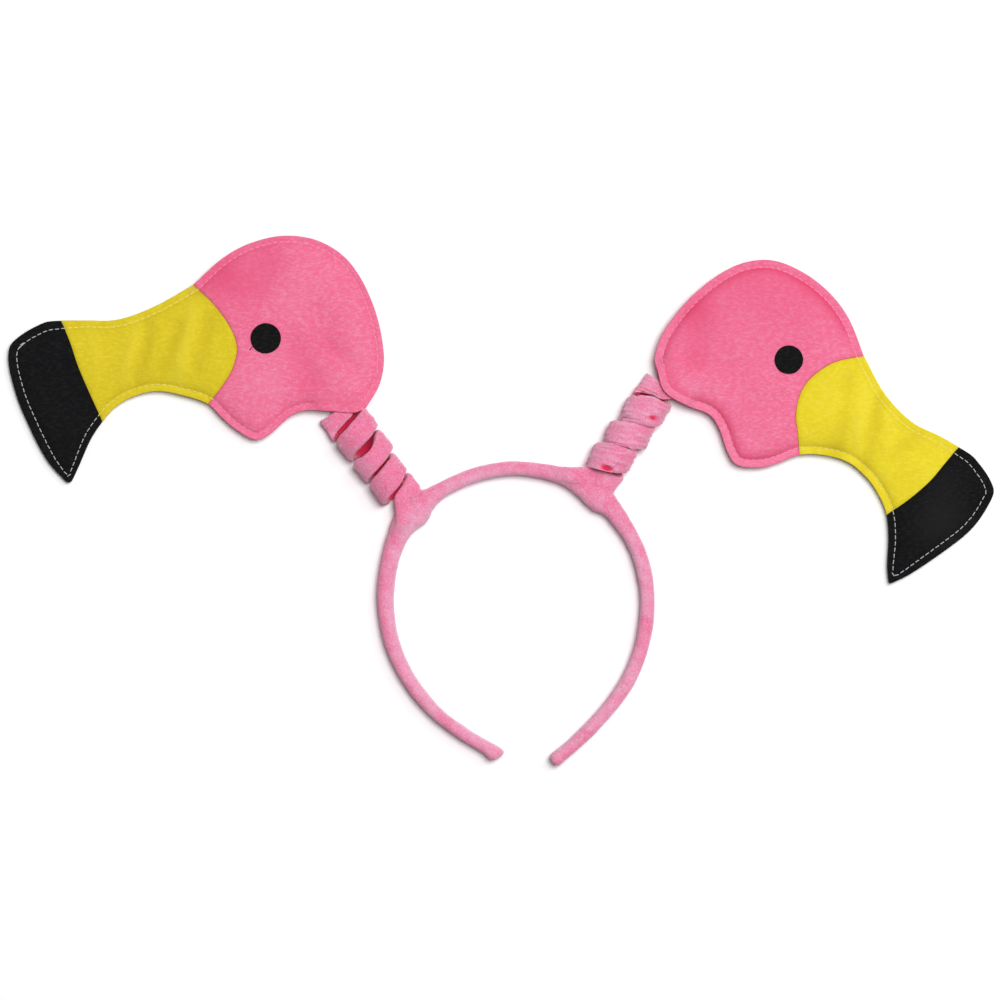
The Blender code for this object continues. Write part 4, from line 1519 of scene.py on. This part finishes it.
def open_edges(triangles: Sequence[Sequence[int]]) -> list[tuple[int, ...]]:
    """The edges that belong to one triangle alone."""
    uses: dict[frozenset[int], int] = {}
    for triangle in triangles:
        for pair in zip(triangle, triangle[1:] + triangle[:1]):
            key = frozenset(pair)
            uses[key] = uses.get(key, 0) + 1
    return [tuple(pair) for pair, count in uses.items() if count == 1]


def edge_ways(spots: Array, edges: Sequence[Sequence[int]], loop: Array) -> dict[int, Array]:
    """For each point on the cut edge of a felt, the flat unit vector that leads into the felt."""
    beside: dict[int, list[int]] = {}
    for first, second in edges:
        beside.setdefault(first, []).append(second)
        beside.setdefault(second, []).append(first)
    probe = 0.0004
    ways = {}
    for index, (before, after) in beside.items():
        along = spots[after] - spots[before]
        way = np.array((-along[1], along[0])) / max(np.linalg.norm(along), 1e-9)
        ways[index] = way if inside((spots[index] + way * probe)[None, :], loop)[0] else -way
    return ways


@dataclass
class Draft:
    """A mesh in the making: its points, the tone of each, and its faces."""

    points: list[Vector] = field(default_factory=list)
    tones: list[float] = field(default_factory=list)
    faces: list[tuple[int, ...]] = field(default_factory=list)

    def add(self, spot: Array, height: float, tone: float) -> int:
        """Adds a point over a flat spot and returns its number."""
        self.points.append(Vector((spot[0], spot[1], height)))
        self.tones.append(float(tone))
        return len(self.points) - 1


@dataclass
class Head:
    """A flamingo's head of two felt shells, sewn together round the rim and puffed a little."""

    hand: Hand
    neck: Vector
    turn: Quaternion
    cut: float
    tail_way: float
    neck_forward: float
    neck_up: float
    neck_gape: float
    eye: tuple[float, float, float]
    insets: tuple[float, float, float]
    point_round: float
    steep: float
    # The hem's tone outside the stitches is painted light and shade; the bank's just inside them is painted
    # shade.
    hem_and_bank_shading: tuple[float, float]
    creases: tuple[Crease, ...]
    patches: tuple[Patch, ...]
    tacks: tuple[Tack, ...]
    yellow: FeltFinish
    seed: float
    length: float = 0.1763
    height: float = 0.1169
    felt: float = 0.0012
    crown_run: float = 0.018
    crowns: tuple[float, float] = (0.0030, 0.0024)
    neck_spread: float = 0.0090
    neck_fade: float = 0.0050
    in_head: float = 0.0075
    ribbon: float = 0.0024
    grain: float = 0.0017
    hair: float = 0.00004
    edge_round: float = 0.0002
    broad_waves: Ripple = Ripple(0.00055, 0.030)
    fine_waves: Ripple = Ripple(0.00026, 0.012)
    edge_waves: Ripple = Ripple(0.00022, 0.009)
    wave_fade: float = 0.012
    point_inset: Groove = Groove(0.36, 0.014)
    hem_clouds: Ripple = Ripple(0.6, 0.06)
    crease_shading: float = 320.0
    stitch_groove: Groove = Groove(0.00045, 0.0009)
    seam_groove: Groove = Groove(0.00030, 0.0007)
    seam_shade: Groove = Groove(0.35, 0.0006)
    back_calm: float = 0.7
    stitch_pitch: float = 0.0029
    stitch_length: float = 0.0021
    thread: float = 0.00046
    eye_lift: float = 0.0002
    eye_thickness: float = 0.0011
    eye_sides: int = 72
    eye_ragged: float = 0.018
    eye_dimples: Ripple = Ripple(0.00008, 0.0016)

    def __post_init__(self) -> None:
        """Draws the rim and the outlines of the felts."""
        knots = self.cut_knots(RIM)
        self.places = {row.place: index for index, row in enumerate(RIM)}
        self.stretches = hermite(knots, [row.sharp for row in RIM], self.grain, True)
        self.point = knots[self.places["beak_point"]]
        self.round_point()
        self.rim = plane_array([point for stretch in self.stretches for point in stretch])
        self.seams = {
            "face": self.seam(FACE_SEAM, "brow_corner", "jaw_corner"),
            "tip": self.seam(TIP_SEAM, "tip_seam_top", "tip_seam_low"),
        }
        face_seam = self.seams["face"]
        tip_seam = self.seams["tip"]
        self.loops = {
            "face": self.along("brow_corner", "jaw_corner") + self.pushed(face_seam, -1)[::-1],
            "beak": (self.along("jaw_corner", "tip_seam_low") + self.pushed(tip_seam, -1)[::-1]
                     + self.along("tip_seam_top", "brow_corner") + self.pushed(face_seam, 1)),
            "tip": self.along("tip_seam_low", "tip_seam_top") + self.pushed(tip_seam, 1),
        }

    @property
    def label(self) -> str:
        """The side's name."""
        return self.hand.label

    @property
    def shift(self) -> float:
        """1 on the right head, which was cut a little off the pattern."""
        return 1.0 if self.hand is Hand.RIGHT else 0.0

    def round_point(self) -> None:
        """Rounds the beak's point off."""
        index = self.places["beak_point"]
        before = self.stretches[index - 1]
        after = self.stretches[index]
        corner = after[0].copy()
        before[:] = [point for point in before if (point - corner).length > self.point_round]
        after[:] = [point for point in after if (point - corner).length > self.point_round]
        start = corner + (before[-1] - corner).normalized() * self.point_round
        end = corner + (after[0] - corner).normalized() * self.point_round
        shares = (0.0, 0.17, 0.33, 0.5, 0.67, 0.83, 1.0)
        bend = [start.lerp(corner, share).lerp(corner.lerp(end, share), share) for share in shares]
        before += bend[:3]
        after[:0] = bend[3:]

    def forward_at(self, points: Array) -> Array:
        """Place of flat points along the pattern, in head lengths."""
        return points[:, 0] * self.hand.value / (self.length * self.cut) + self.neck_forward

    def inset_at(self, points: Array) -> Array:
        """How far the stitches lie inside the rim, at flat points: less far near the beak's point."""
        back, middle, front = self.insets
        inset = np.interp(self.forward_at(points), (0.40, 0.48, 0.80, 0.88), (back, middle, middle, front))
        away = np.hypot(points[:, 0] - self.point.x, points[:, 1] - self.point.y)
        return inset * (1.0 - self.point_inset.at(away))

    def on_pattern(self, forward: float, up: float) -> Vector:
        """A pattern place as a point of the head's own frame, whose origin is the neck."""
        ahead = (forward - self.neck_forward) * self.length * self.cut
        above = (up - self.neck_up) * self.height * self.cut
        return Vector((ahead * self.hand.value, above))

    def cut_knots(self, rows: Sequence[RimKnot | SeamKnot]) -> list[Vector]:
        """The pattern's places as this head was cut."""
        return [
            self.on_pattern(row.forward + self.shift * row.off_forward, row.up + self.shift * row.off_up)
            for row in rows
        ]

    def seam(self, rows: Sequence[SeamKnot], start: str, end: str) -> list[Vector]:
        """A seam from one rim place to another, with both ends in the list."""
        first = self.stretches[self.places[start]][0]
        last = self.stretches[self.places[end]][0]
        knots = [first] + self.cut_knots(rows) + [last]
        stretches = hermite(knots, [False] * len(knots), self.grain, False)
        return [point for stretch in stretches for point in stretch] + [last]

    def along(self, first: str, last: str) -> list[Vector]:
        """The rim from just after one place to just before another."""
        index = self.places[first]
        run = list(self.stretches[index][1:])
        while True:
            index = (index + 1) % len(RIM)
            if index == self.places[last]:
                return run
            run += self.stretches[index]

    def pushed(self, line: Sequence[Vector], way: int) -> list[Vector]:
        """A seam's line moved to one side by half of the hair's breadth between two felts."""
        hair = self.hair * way * self.hand.value
        moved = []
        for index, point in enumerate(line):
            forward = (line[min(len(line) - 1, index + 1)] - line[max(0, index - 1)]).normalized()
            moved.append(point + Vector((-forward.y, forward.x)) * hair)
        return moved

    def neck_lines(self, points: Array) -> tuple[Array, Array]:
        """How far flat points lie into the head from the neck, and how far to a side of the sleeve's line."""
        into = np.array((math.cos(self.tail_way), math.sin(self.tail_way)))
        return points @ into, np.abs(points[:, 0] * into[1] - points[:, 1] * into[0])

    def seam_distance(self, points: Array) -> Array:
        """Distance of flat points from the nearer seam."""
        return np.minimum(*(line_distance(points, plane_array(line), False) for line in self.seams.values()))

    def rise(self, points: Array, shell: Shell) -> Array:
        """How far a shell's outer side stands off the head's middle plane.

        Args:
            points: Flat points of the head's frame.
            shell: The shell.

        Returns:
            A height for each point: level at the stitches, crowned inside and open at the neck.
        """
        crown, calm = (self.crowns[0], 1.0) if shell is Shell.FRONT else (self.crowns[1], self.back_calm)
        depth = line_distance(points, self.rim, True) - self.inset_at(points)
        share = np.clip(depth / self.crown_run, 0.0, 1.0)
        swift = np.sin(math.pi / 2 * np.clip(4.0 * share, 0.0, 1.0))
        puff = crown * ((1.0 - self.steep) * np.sin(math.pi / 2 * share) + self.steep * swift)
        inward, sideways = self.neck_lines(points)
        neck = ease((self.neck_spread + self.neck_fade - sideways) / self.neck_fade)
        neck = neck * ease((self.in_head + 2 * self.neck_fade - np.abs(inward)) / self.neck_fade)
        pocket = (self.ribbon / 2 + GAP + self.neck_gape) * neck
        spots = np.column_stack((points, np.full(len(points), 0.02 * shell.value)))
        soft = ease(depth / self.wave_fade)
        waves = soft * (self.broad_waves.at(spots, self.seed) + self.fine_waves.at(spots, self.seed + 3.0))
        waves += (1.0 - soft) * self.edge_waves.at(spots, self.seed + 7.0)
        for crease in self.creases:
            fold = Groove(crease.height, crease.width).at(self.crease_distance(points, crease))
            waves += calm * fold * soft
        groove = self.stitch_groove.at(depth) * (1.0 - neck) + self.seam_groove.at(self.seam_distance(points))
        return GAP / 2 + np.hypot(puff, pocket) + self.felt + waves - groove

    def crease_distance(self, points: Array, crease: Crease) -> Array:
        """Distance of flat points from a crease."""
        ends = [self.on_pattern(crease.forward, crease.up), self.on_pattern(crease.to_forward, crease.to_up)]
        return line_distance(points, plane_array(ends), False)

    def tones(self, points: Array) -> Array:
        """How pale the felt is painted at flat points, from -1 for dark to 1 for pale: mostly painted light
        and shade.
        """
        depth = line_distance(points, self.rim, True) - self.inset_at(points)
        pink = ease((0.47 - self.forward_at(points)) / 0.05)
        hem, bank_shade = self.hem_and_bank_shading
        clouds = self.hem_clouds.at(np.column_stack((points, np.zeros(len(points)))), self.seed + 5.0)
        # Painted light and shade on the pink hem outside the stitches.
        tone = np.where(depth < 0.0, hem, 0.0) * pink
        # Painted shade on the bank just inside the stitches, where the puff slopes away from the light,
        # fainter on the yellow and black.
        shore = np.exp(-(np.maximum(depth, 0.0) / 0.0030) ** 1.5) * (depth >= 0.0)
        tone += bank_shade * shore * pink * (0.75 + clouds)
        tone -= 0.10 * shore * (1.0 - pink)
        # Painted shade in the creases' dents and painted light on their ridges.
        for crease in self.creases:
            shade = Groove(self.crease_shading * crease.height, 1.2 * crease.width)
            tone += shade.at(self.crease_distance(points, crease))
        # Patches: mostly painted shade and painted highlight, partly uneven felt colour.
        for patch in self.patches:
            middle = self.on_pattern(patch.forward, patch.up)
            away = np.hypot(points[:, 0] - middle.x, points[:, 1] - middle.y)
            tone += Groove(patch.tone, patch.reach * MM).at(away)
        tone -= self.seam_shade.at(self.seam_distance(points))
        return np.clip(tone, -1.0, 1.0)

    @functools.cached_property
    def inwards(self) -> Array:
        """At each point of the rim, the flat unit vector that leads into the head."""
        before = np.roll(self.rim, 1, axis=0)
        after = np.roll(self.rim, -1, axis=0)
        area = np.sum(self.rim[:, 0] * after[:, 1] - after[:, 0] * self.rim[:, 1])
        forward = after - before
        forward /= np.linalg.norm(forward, axis=1)[:, None]
        return np.column_stack((-forward[:, 1], forward[:, 0])) * (1.0 if area > 0 else -1.0)

    def rim_follower(self, beyond: float, least: float) -> Array:
        """The rim moved in to the stitches.

        Args:
            beyond: How far past the stitches.
            least: A point that comes nearer to the rim than this share of its way in is left out.

        Returns:
            The points that are left.
        """
        offset = self.inset_at(self.rim) + beyond
        moved = self.rim + self.inwards * offset[:, None]
        return moved[line_distance(moved, self.rim, True) > least * offset]

    def felt_points(self, loop: Array) -> Array:
        """Points that fill a felt: rows that follow the rim and a triangular grid inside them."""
        step = self.grain * math.sqrt(0.75)
        low = loop.min(axis=0)
        high = loop.max(axis=0)
        rows = int((high[1] - low[1]) / step) + 2
        columns = int((high[0] - low[0]) / self.grain) + 2
        grid = np.array([
            (low[0] + (column + 0.5 * (row % 2)) * self.grain, low[1] + row * step)
            for row in range(rows) for column in range(columns)
        ])
        grid = grid[inside(grid, loop)]
        to_rim = line_distance(grid, self.rim, True)
        to_loop = line_distance(grid, loop, True)
        grid = grid[(to_rim > self.inset_at(grid) + 0.0022) & (to_loop > 0.45 * self.grain)]
        followers = []
        for beyond in (-0.0009, -0.00012, 0.00012, 0.0009, 0.0019):
            moved = self.rim_follower(beyond, 0.97)
            keep = inside(moved, loop) & (line_distance(moved, loop, True) > 0.35 * self.grain)
            followers.append(moved[keep])
        return np.vstack(followers + [grid])

    def panel(self, loop_points: Sequence[Vector], shell: Shell, draft: Draft) -> None:
        """Adds one felt of one shell to a draft, with rounded cut edges."""
        loop = plane_array(loop_points)
        flat = [Vector((float(x), float(y))) for x, y in np.vstack((loop, self.felt_points(loop)))]
        count = len(loop)
        border = [(index, (index + 1) % count) for index in range(count)]
        spots, _, triangles, _, _, _ = delaunay_2d_cdt(flat, border, [], 1, 1e-7)
        spots = plane_array(spots)
        edges = open_edges(triangles)
        ways = edge_ways(spots, edges, loop)
        outer = self.rise(spots, shell)
        tone = self.tones(spots)
        turn = self.edge_round
        rounding = (
            (0.3 * turn, 0.3 * turn), (0.0, turn),
            (0.0, self.felt - turn), (0.3 * turn, self.felt - 0.3 * turn),
        )
        start = len(draft.points)
        size = len(spots)
        for drop in (0.0, self.felt):
            for index in range(size):
                spot = spots[index] + ways.get(index, 0.0) * turn
                draft.add(spot, (outer[index] - drop) * shell.value, tone[index])
        rings: dict[int, list[int]] = {}
        for index, way in ways.items():
            ring = [
                draft.add(spots[index] + way * inset, (outer[index] - drop) * shell.value, tone[index])
                for inset, drop in rounding
            ]
            rings[index] = [start + index] + ring + [start + size + index]
        for base in (start, start + size):
            draft.faces += [(base + a, base + b, base + c) for a, b, c in triangles]
        for first, second in edges:
            one = rings[first]
            other = rings[second]
            for step in range(len(one) - 1):
                draft.faces.append((one[step], other[step], other[step + 1], one[step + 1]))

    def placed(self, point: Sequence[float]) -> Vector:
        """A point of the head's frame moved to the part's frame."""
        moved = Vector(point)
        moved.rotate(self.turn)
        return self.neck + moved

    def build_felt(self, felt: str) -> bpy.types.Object:
        """Makes the front and back felts of one colour."""
        draft = Draft()
        for shell in Shell:
            self.panel(self.loops[felt], shell, draft)
        name = f"{self.label}_{felt}_felts"
        mesh = mesh_from(name, [self.placed(point) for point in draft.points], draft.faces)
        keep_numbers(mesh, "tone", draft.tones)
        mesh.materials.append(finish_material(FELTS.get(felt, self.yellow)))
        thing = new_object(name, mesh)
        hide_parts(f"{self.label}_{felt}_front", f"{self.label}_{felt}_back")
        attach(thing, "root")
        return thing

    def stitch_line(self) -> tuple[Array, list[str]]:
        """Points along the line of stitches, evenly apart, and the felt that each lies on."""
        moved = self.rim_follower(0.0, 0.985)
        closed = np.vstack((moved, moved[:1]))
        steps = np.hypot(*np.diff(closed, axis=0).T)
        run = np.concatenate(([0.0], np.cumsum(steps)))
        count = round(run[-1] / self.stitch_pitch)
        at = (np.arange(count) + 0.5) * run[-1] / count
        places = np.column_stack((np.interp(at, run, closed[:, 0]), np.interp(at, run, closed[:, 1])))
        felts = []
        for place in places:
            over = [felt for felt, loop in self.loops.items() if inside(place[None, :], plane_array(loop))[0]]
            felts.append((over + felts[-1:] + ["face"])[0])
        return places, felts

    def tack_stitches(self, finish: ThreadFinish) -> bpy.types.Object:
        """Sews the few stitches of one thread where a seam was begun or fastened off."""
        tacks = [tack for tack in self.tacks if tack.finish is finish]
        flat = plane_array([self.on_pattern(tack.forward, tack.up) for tack in tacks])
        lift = self.rise(flat, Shell.FRONT) + 0.00012
        spots = [self.placed((x, y, high)) for (x, y), high in zip(flat, lift)]
        turns = [math.radians(tack.turn) for tack in tacks]
        ways = [Vector((math.cos(turn), math.sin(turn), 0.0)) for turn in turns]
        name = f"{self.label}_{finish.name}_tacks"
        thing = stitch_row(name, spots, ways, finish, self.stitch_length, self.thread, 5)
        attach(thing, "root")
        return thing

    def build_stitches(self) -> list[bpy.types.Object]:
        """Sews the shells together, in the thread colour of each felt, but not across the neck."""
        places, felts = self.stitch_line()
        inward, sideways = self.neck_lines(places)
        open_neck = (sideways < self.neck_spread) & (np.abs(inward) < 0.014)
        ahead = np.roll(places, -1, axis=0) - np.roll(places, 1, axis=0)
        made = []
        for felt, finish in THREADS.items():
            chosen = [index for index, name in enumerate(felts) if name == felt and not open_neck[index]]
            spots: list[Vector] = []
            ways: list[Vector] = []
            flat = places[chosen]
            near = ahead[chosen] * 0.2
            for shell in Shell:
                lift = self.rise(flat, shell) + 0.00008
                climb = self.rise(flat + near, shell) - self.rise(flat - near, shell)
                for (x, y), (along, up), high, slope in zip(flat, ahead[chosen] * 0.4, lift, climb):
                    spots.append(self.placed((x, y, high * shell.value)))
                    way = Vector((along, up, slope * shell.value))
                    way.rotate(self.turn)
                    ways.append(way.normalized())
            name = f"{self.label}_{felt}_stitches"
            thing = stitch_row(name, spots, ways, finish, self.stitch_length, self.thread, 11)
            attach(thing, "root")
            made.append(thing)
        return made

    def build_eye(self) -> bpy.types.Object:
        """Makes the eye: a thick disc of black felt with a soft edge, glued to the face."""
        forward, up, width = self.eye
        middle = self.on_pattern(forward, up)
        base = self.eye_lift
        thick = self.eye_thickness
        top = base + thick
        rings = []
        profile = (
            (0.0, base), (0.5, base), (0.97, base), (1.0, base + 0.3 * thick), (1.0, base + 0.65 * thick),
            (0.965, base + 0.93 * thick), (0.90, top), (0.75, top), (0.5, top), (0.25, top), (0.0, top),
        )
        for share, level in profile:
            ring = []
            flat = []
            for index in range(self.eye_sides):
                turn = 2 * math.pi * index / self.eye_sides
                side = Vector((math.cos(turn), math.sin(turn), 0.0))
                ragged = 1.0 + self.eye_ragged * noise.noise(3 * side + Vector((0.0, 0.0, self.seed)))
                reach = max(share, 0.02) * ragged * width / 2
                flat.append((middle.x + side.x * reach, middle.y + side.y * reach))
            high = self.rise(np.array(flat), Shell.FRONT)
            for (x, y), rise in zip(flat, high):
                dimple = self.eye_dimples.strength * noise.noise(Vector((x, y, 0.0)) / self.eye_dimples.size)
                ring.append(self.placed((x, y, rise + level + dimple)))
            rings.append(ring)
        name = self.label + "_eye_disc"
        mesh = mesh_from(name, *loft(rings))
        mesh.materials.append(finish_material(FELT_BLACK))
        thing = new_object(name, mesh)
        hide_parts(self.label + "_eye")
        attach(thing, "root")
        return thing

    def build(self) -> list[bpy.types.Object]:
        """Makes the whole head."""
        made = [self.build_felt(felt) for felt in SLOTS]
        made += self.build_stitches()
        threads = {tack.finish.name: tack.finish for tack in self.tacks}
        made += [self.tack_stitches(finish) for finish in threads.values()]
        made.append(self.build_eye())
        return made


LEFT_HEAD = Head(
    hand=Hand.LEFT, neck=Vector((-0.073649, 0.046471, 0.008)),
    turn=Quaternion((0.999854, 0.005028, -0.016331, 0.0)),
    cut=1.0, tail_way=math.radians(125.4), neck_forward=0.108, neck_up=0.338, neck_gape=0.0,
    eye=(0.312, 0.588, 0.0141), insets=(0.0029, 0.0031, 0.0040), point_round=0.0034, steep=0.20,
    hem_and_bank_shading=(-0.05, -0.25),
    yellow=FELT_YELLOW, seed=2.3,
    creases=(
        Crease(0.655, 0.640, 0.690, 0.430, 0.0030, 0.0011),
        Crease(0.622, 0.640, 0.650, 0.430, 0.0028, -0.0010),
        Crease(0.505, 0.720, 0.548, 0.420, 0.0040, 0.0012),
        Crease(0.545, 0.640, 0.590, 0.470, 0.0030, -0.0009),
        Crease(0.470, 0.640, 0.500, 0.470, 0.0035, -0.0007),
        Crease(0.780, 0.640, 0.760, 0.460, 0.0030, 0.0006),
        Crease(0.175, 0.700, 0.110, 0.540, 0.0060, -0.0005),
        Crease(0.150, 0.560, 0.080, 0.480, 0.0040, -0.0009),
        Crease(0.235, 0.560, 0.190, 0.400, 0.0060, -0.0008),
        Crease(0.330, 0.800, 0.300, 0.900, 0.0060, -0.0006),
    ),
    patches=(
        # The dark patches at the top are painted shade.
        Patch(0.38, 0.82, 18.0, -0.35), Patch(0.20, 0.44, 10.0, -0.15), Patch(0.08, 0.50, 10.0, 0.25),
        Patch(0.30, 0.42, 12.0, 0.18), Patch(0.24, 0.74, 12.0, 0.15), Patch(0.42, 0.83, 9.0, -0.40),
        Patch(0.90, 0.30, 12.0, 0.10), Patch(0.60, 0.50, 12.0, 0.05), Patch(0.30, 0.93, 10.0, -0.20),
        Patch(0.47, 0.80, 6.0, -0.20),
    ),
    tacks=(
        Tack(0.966, 0.556, 40.0, THREAD_WHITE), Tack(0.962, 0.567, 36.0, THREAD_WHITE),
        Tack(0.512, 0.776, 40.0, THREAD_PINK), Tack(0.3515, 0.548, 48.0, THREAD_BLACK),
    ),
)
RIGHT_HEAD = Head(
    hand=Hand.RIGHT, neck=Vector((0.079553, 0.051821, 0.008)),
    turn=Quaternion((0.971518, 0.00783, 0.014698, -0.236381)),
    cut=0.983, tail_way=math.radians(54.6 + 27.35), neck_forward=0.090, neck_up=0.326, neck_gape=0.0010,
    eye=(0.334, 0.653, 0.0133), insets=(0.0035, 0.0032, 0.0037), point_round=0.0016, steep=0.34,
    hem_and_bank_shading=(0.12, -0.80),
    # The right head's yellow is the painted-light copy of the yellow felt.
    yellow=FELT_YELLOW_PAINTED_LIT, seed=6.1,
    creases=(
        Crease(0.560, 0.700, 0.610, 0.430, 0.0034, 0.0010),
        Crease(0.600, 0.680, 0.650, 0.420, 0.0028, -0.0010),
        Crease(0.500, 0.700, 0.560, 0.430, 0.0030, -0.0008),
        Crease(0.650, 0.640, 0.700, 0.430, 0.0030, 0.0008),
        Crease(0.740, 0.620, 0.690, 0.470, 0.0028, -0.0007),
        Crease(0.300, 0.420, 0.200, 0.500, 0.0070, -0.0007),
        Crease(0.120, 0.480, 0.060, 0.640, 0.0060, -0.0008),
        Crease(0.350, 0.300, 0.250, 0.340, 0.0050, -0.0006),
    ),
    patches=(
        # The pale patches on the black tip are a painted highlight; the dark ones at the top are painted
        # shade.
        Patch(0.06, 0.66, 13.0, -0.40), Patch(0.14, 0.86, 15.0, -0.34), Patch(0.30, 0.93, 18.0, -0.30),
        Patch(0.24, 0.72, 26.0, -0.14), Patch(0.13, 0.37, 6.0, 0.35), Patch(0.24, 0.42, 12.0, 0.20),
        Patch(0.33, 0.30, 10.0, 0.20), Patch(0.10, 0.46, 7.0, -0.25), Patch(0.90, 0.36, 12.0, 0.65),
        Patch(0.86, 0.50, 8.0, 0.35), Patch(0.56, 0.42, 8.0, -0.25), Patch(0.66, 0.60, 8.0, -0.12),
        Patch(0.50, 0.60, 9.0, 0.20),
    ),
    tacks=(),
)


# Studio


@dataclass
class Studio:
    """The table, the lights and the camera."""

    picture: float = 0.4676
    middle: Vector = field(default_factory=lambda: Vector((-0.00041, 0.00015, 0.008)))
    distance: float = 2.6
    sensor: float = 36.0
    table_reach: float = 6.0
    sky: float = 0.17

    def floor(self) -> None:
        """Lays the table."""
        mesh = bpy.data.meshes.new("table")
        reach = self.table_reach
        corners = [(-reach, -reach, 0.0), (reach, -reach, 0.0), (reach, reach, 0.0), (-reach, reach, 0.0)]
        mesh.from_pydata(corners, [], [(0, 1, 2, 3)])
        mesh.materials.append(finish_material(FLOOR_WHITE))
        new_object("table", mesh)

    def camera(self) -> None:
        """Hangs the camera straight over the bopper, framed as the picture is."""
        data = bpy.data.cameras.new("camera")
        data.sensor_width = self.sensor
        data.lens = self.sensor * self.distance / self.picture
        data.clip_end = 50.0
        thing = bpy.data.objects.new("camera", data)
        thing.location = self.middle + Vector((0.0, 0.0, self.distance))
        bpy.context.scene.collection.objects.link(thing)
        bpy.context.scene.camera = thing

    def lamp(self, name: str, place: Sequence[float], size: float, power: float) -> None:
        """Hangs a round soft lamp that looks at the bopper."""
        data = bpy.data.lights.new(name, "AREA")
        data.shape = "DISK"
        data.size = size
        data.energy = power
        thing = bpy.data.objects.new(name, data)
        thing.location = Vector(place)
        thing.rotation_mode = "QUATERNION"
        thing.rotation_quaternion = Vector(place).to_track_quat("Z", "Y")
        bpy.context.scene.collection.objects.link(thing)

    def build(self) -> None:
        """Sets up the whole studio."""
        self.camera()
        self.floor()
        self.lamp("key", (0.72, 0.72, 4.5), 1.75, 187.0)
        self.lamp("fill", (1.6, 1.2, 3.0), 1.2, 22.0)
        world = bpy.data.worlds.new("studio")
        world.use_nodes = True
        sky = world.node_tree.nodes["Background"]
        sky.inputs["Color"].default_value = (1.0, 1.0, 1.0, 1.0)
        sky.inputs["Strength"].default_value = self.sky
        bpy.context.scene.world = world
        bpy.context.scene.view_settings.view_transform = "Standard"


def main() -> None:
    """Builds the studio and every piece."""
    logging.basicConfig(level=logging.INFO, format="%(message)s")
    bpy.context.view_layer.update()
    Studio().build()
    band = VelourBand((LEFT_BAND, RIGHT_BAND), (LEFT_SPRING, RIGHT_SPRING))
    made = [band.build()]
    for spring in (LEFT_SPRING, RIGHT_SPRING):
        made.append(spring.build_coil())
    for head in (LEFT_HEAD, RIGHT_HEAD):
        made += head.build()
    for thing in made:
        lowest = vertex_array(thing.data)[:, 2].min() / MM
        LOG.info("%s: %d faces, lowest point %.2f mm", thing.name, len(thing.data.polygons), lowest)


if __name__ == "__main__":
    main()
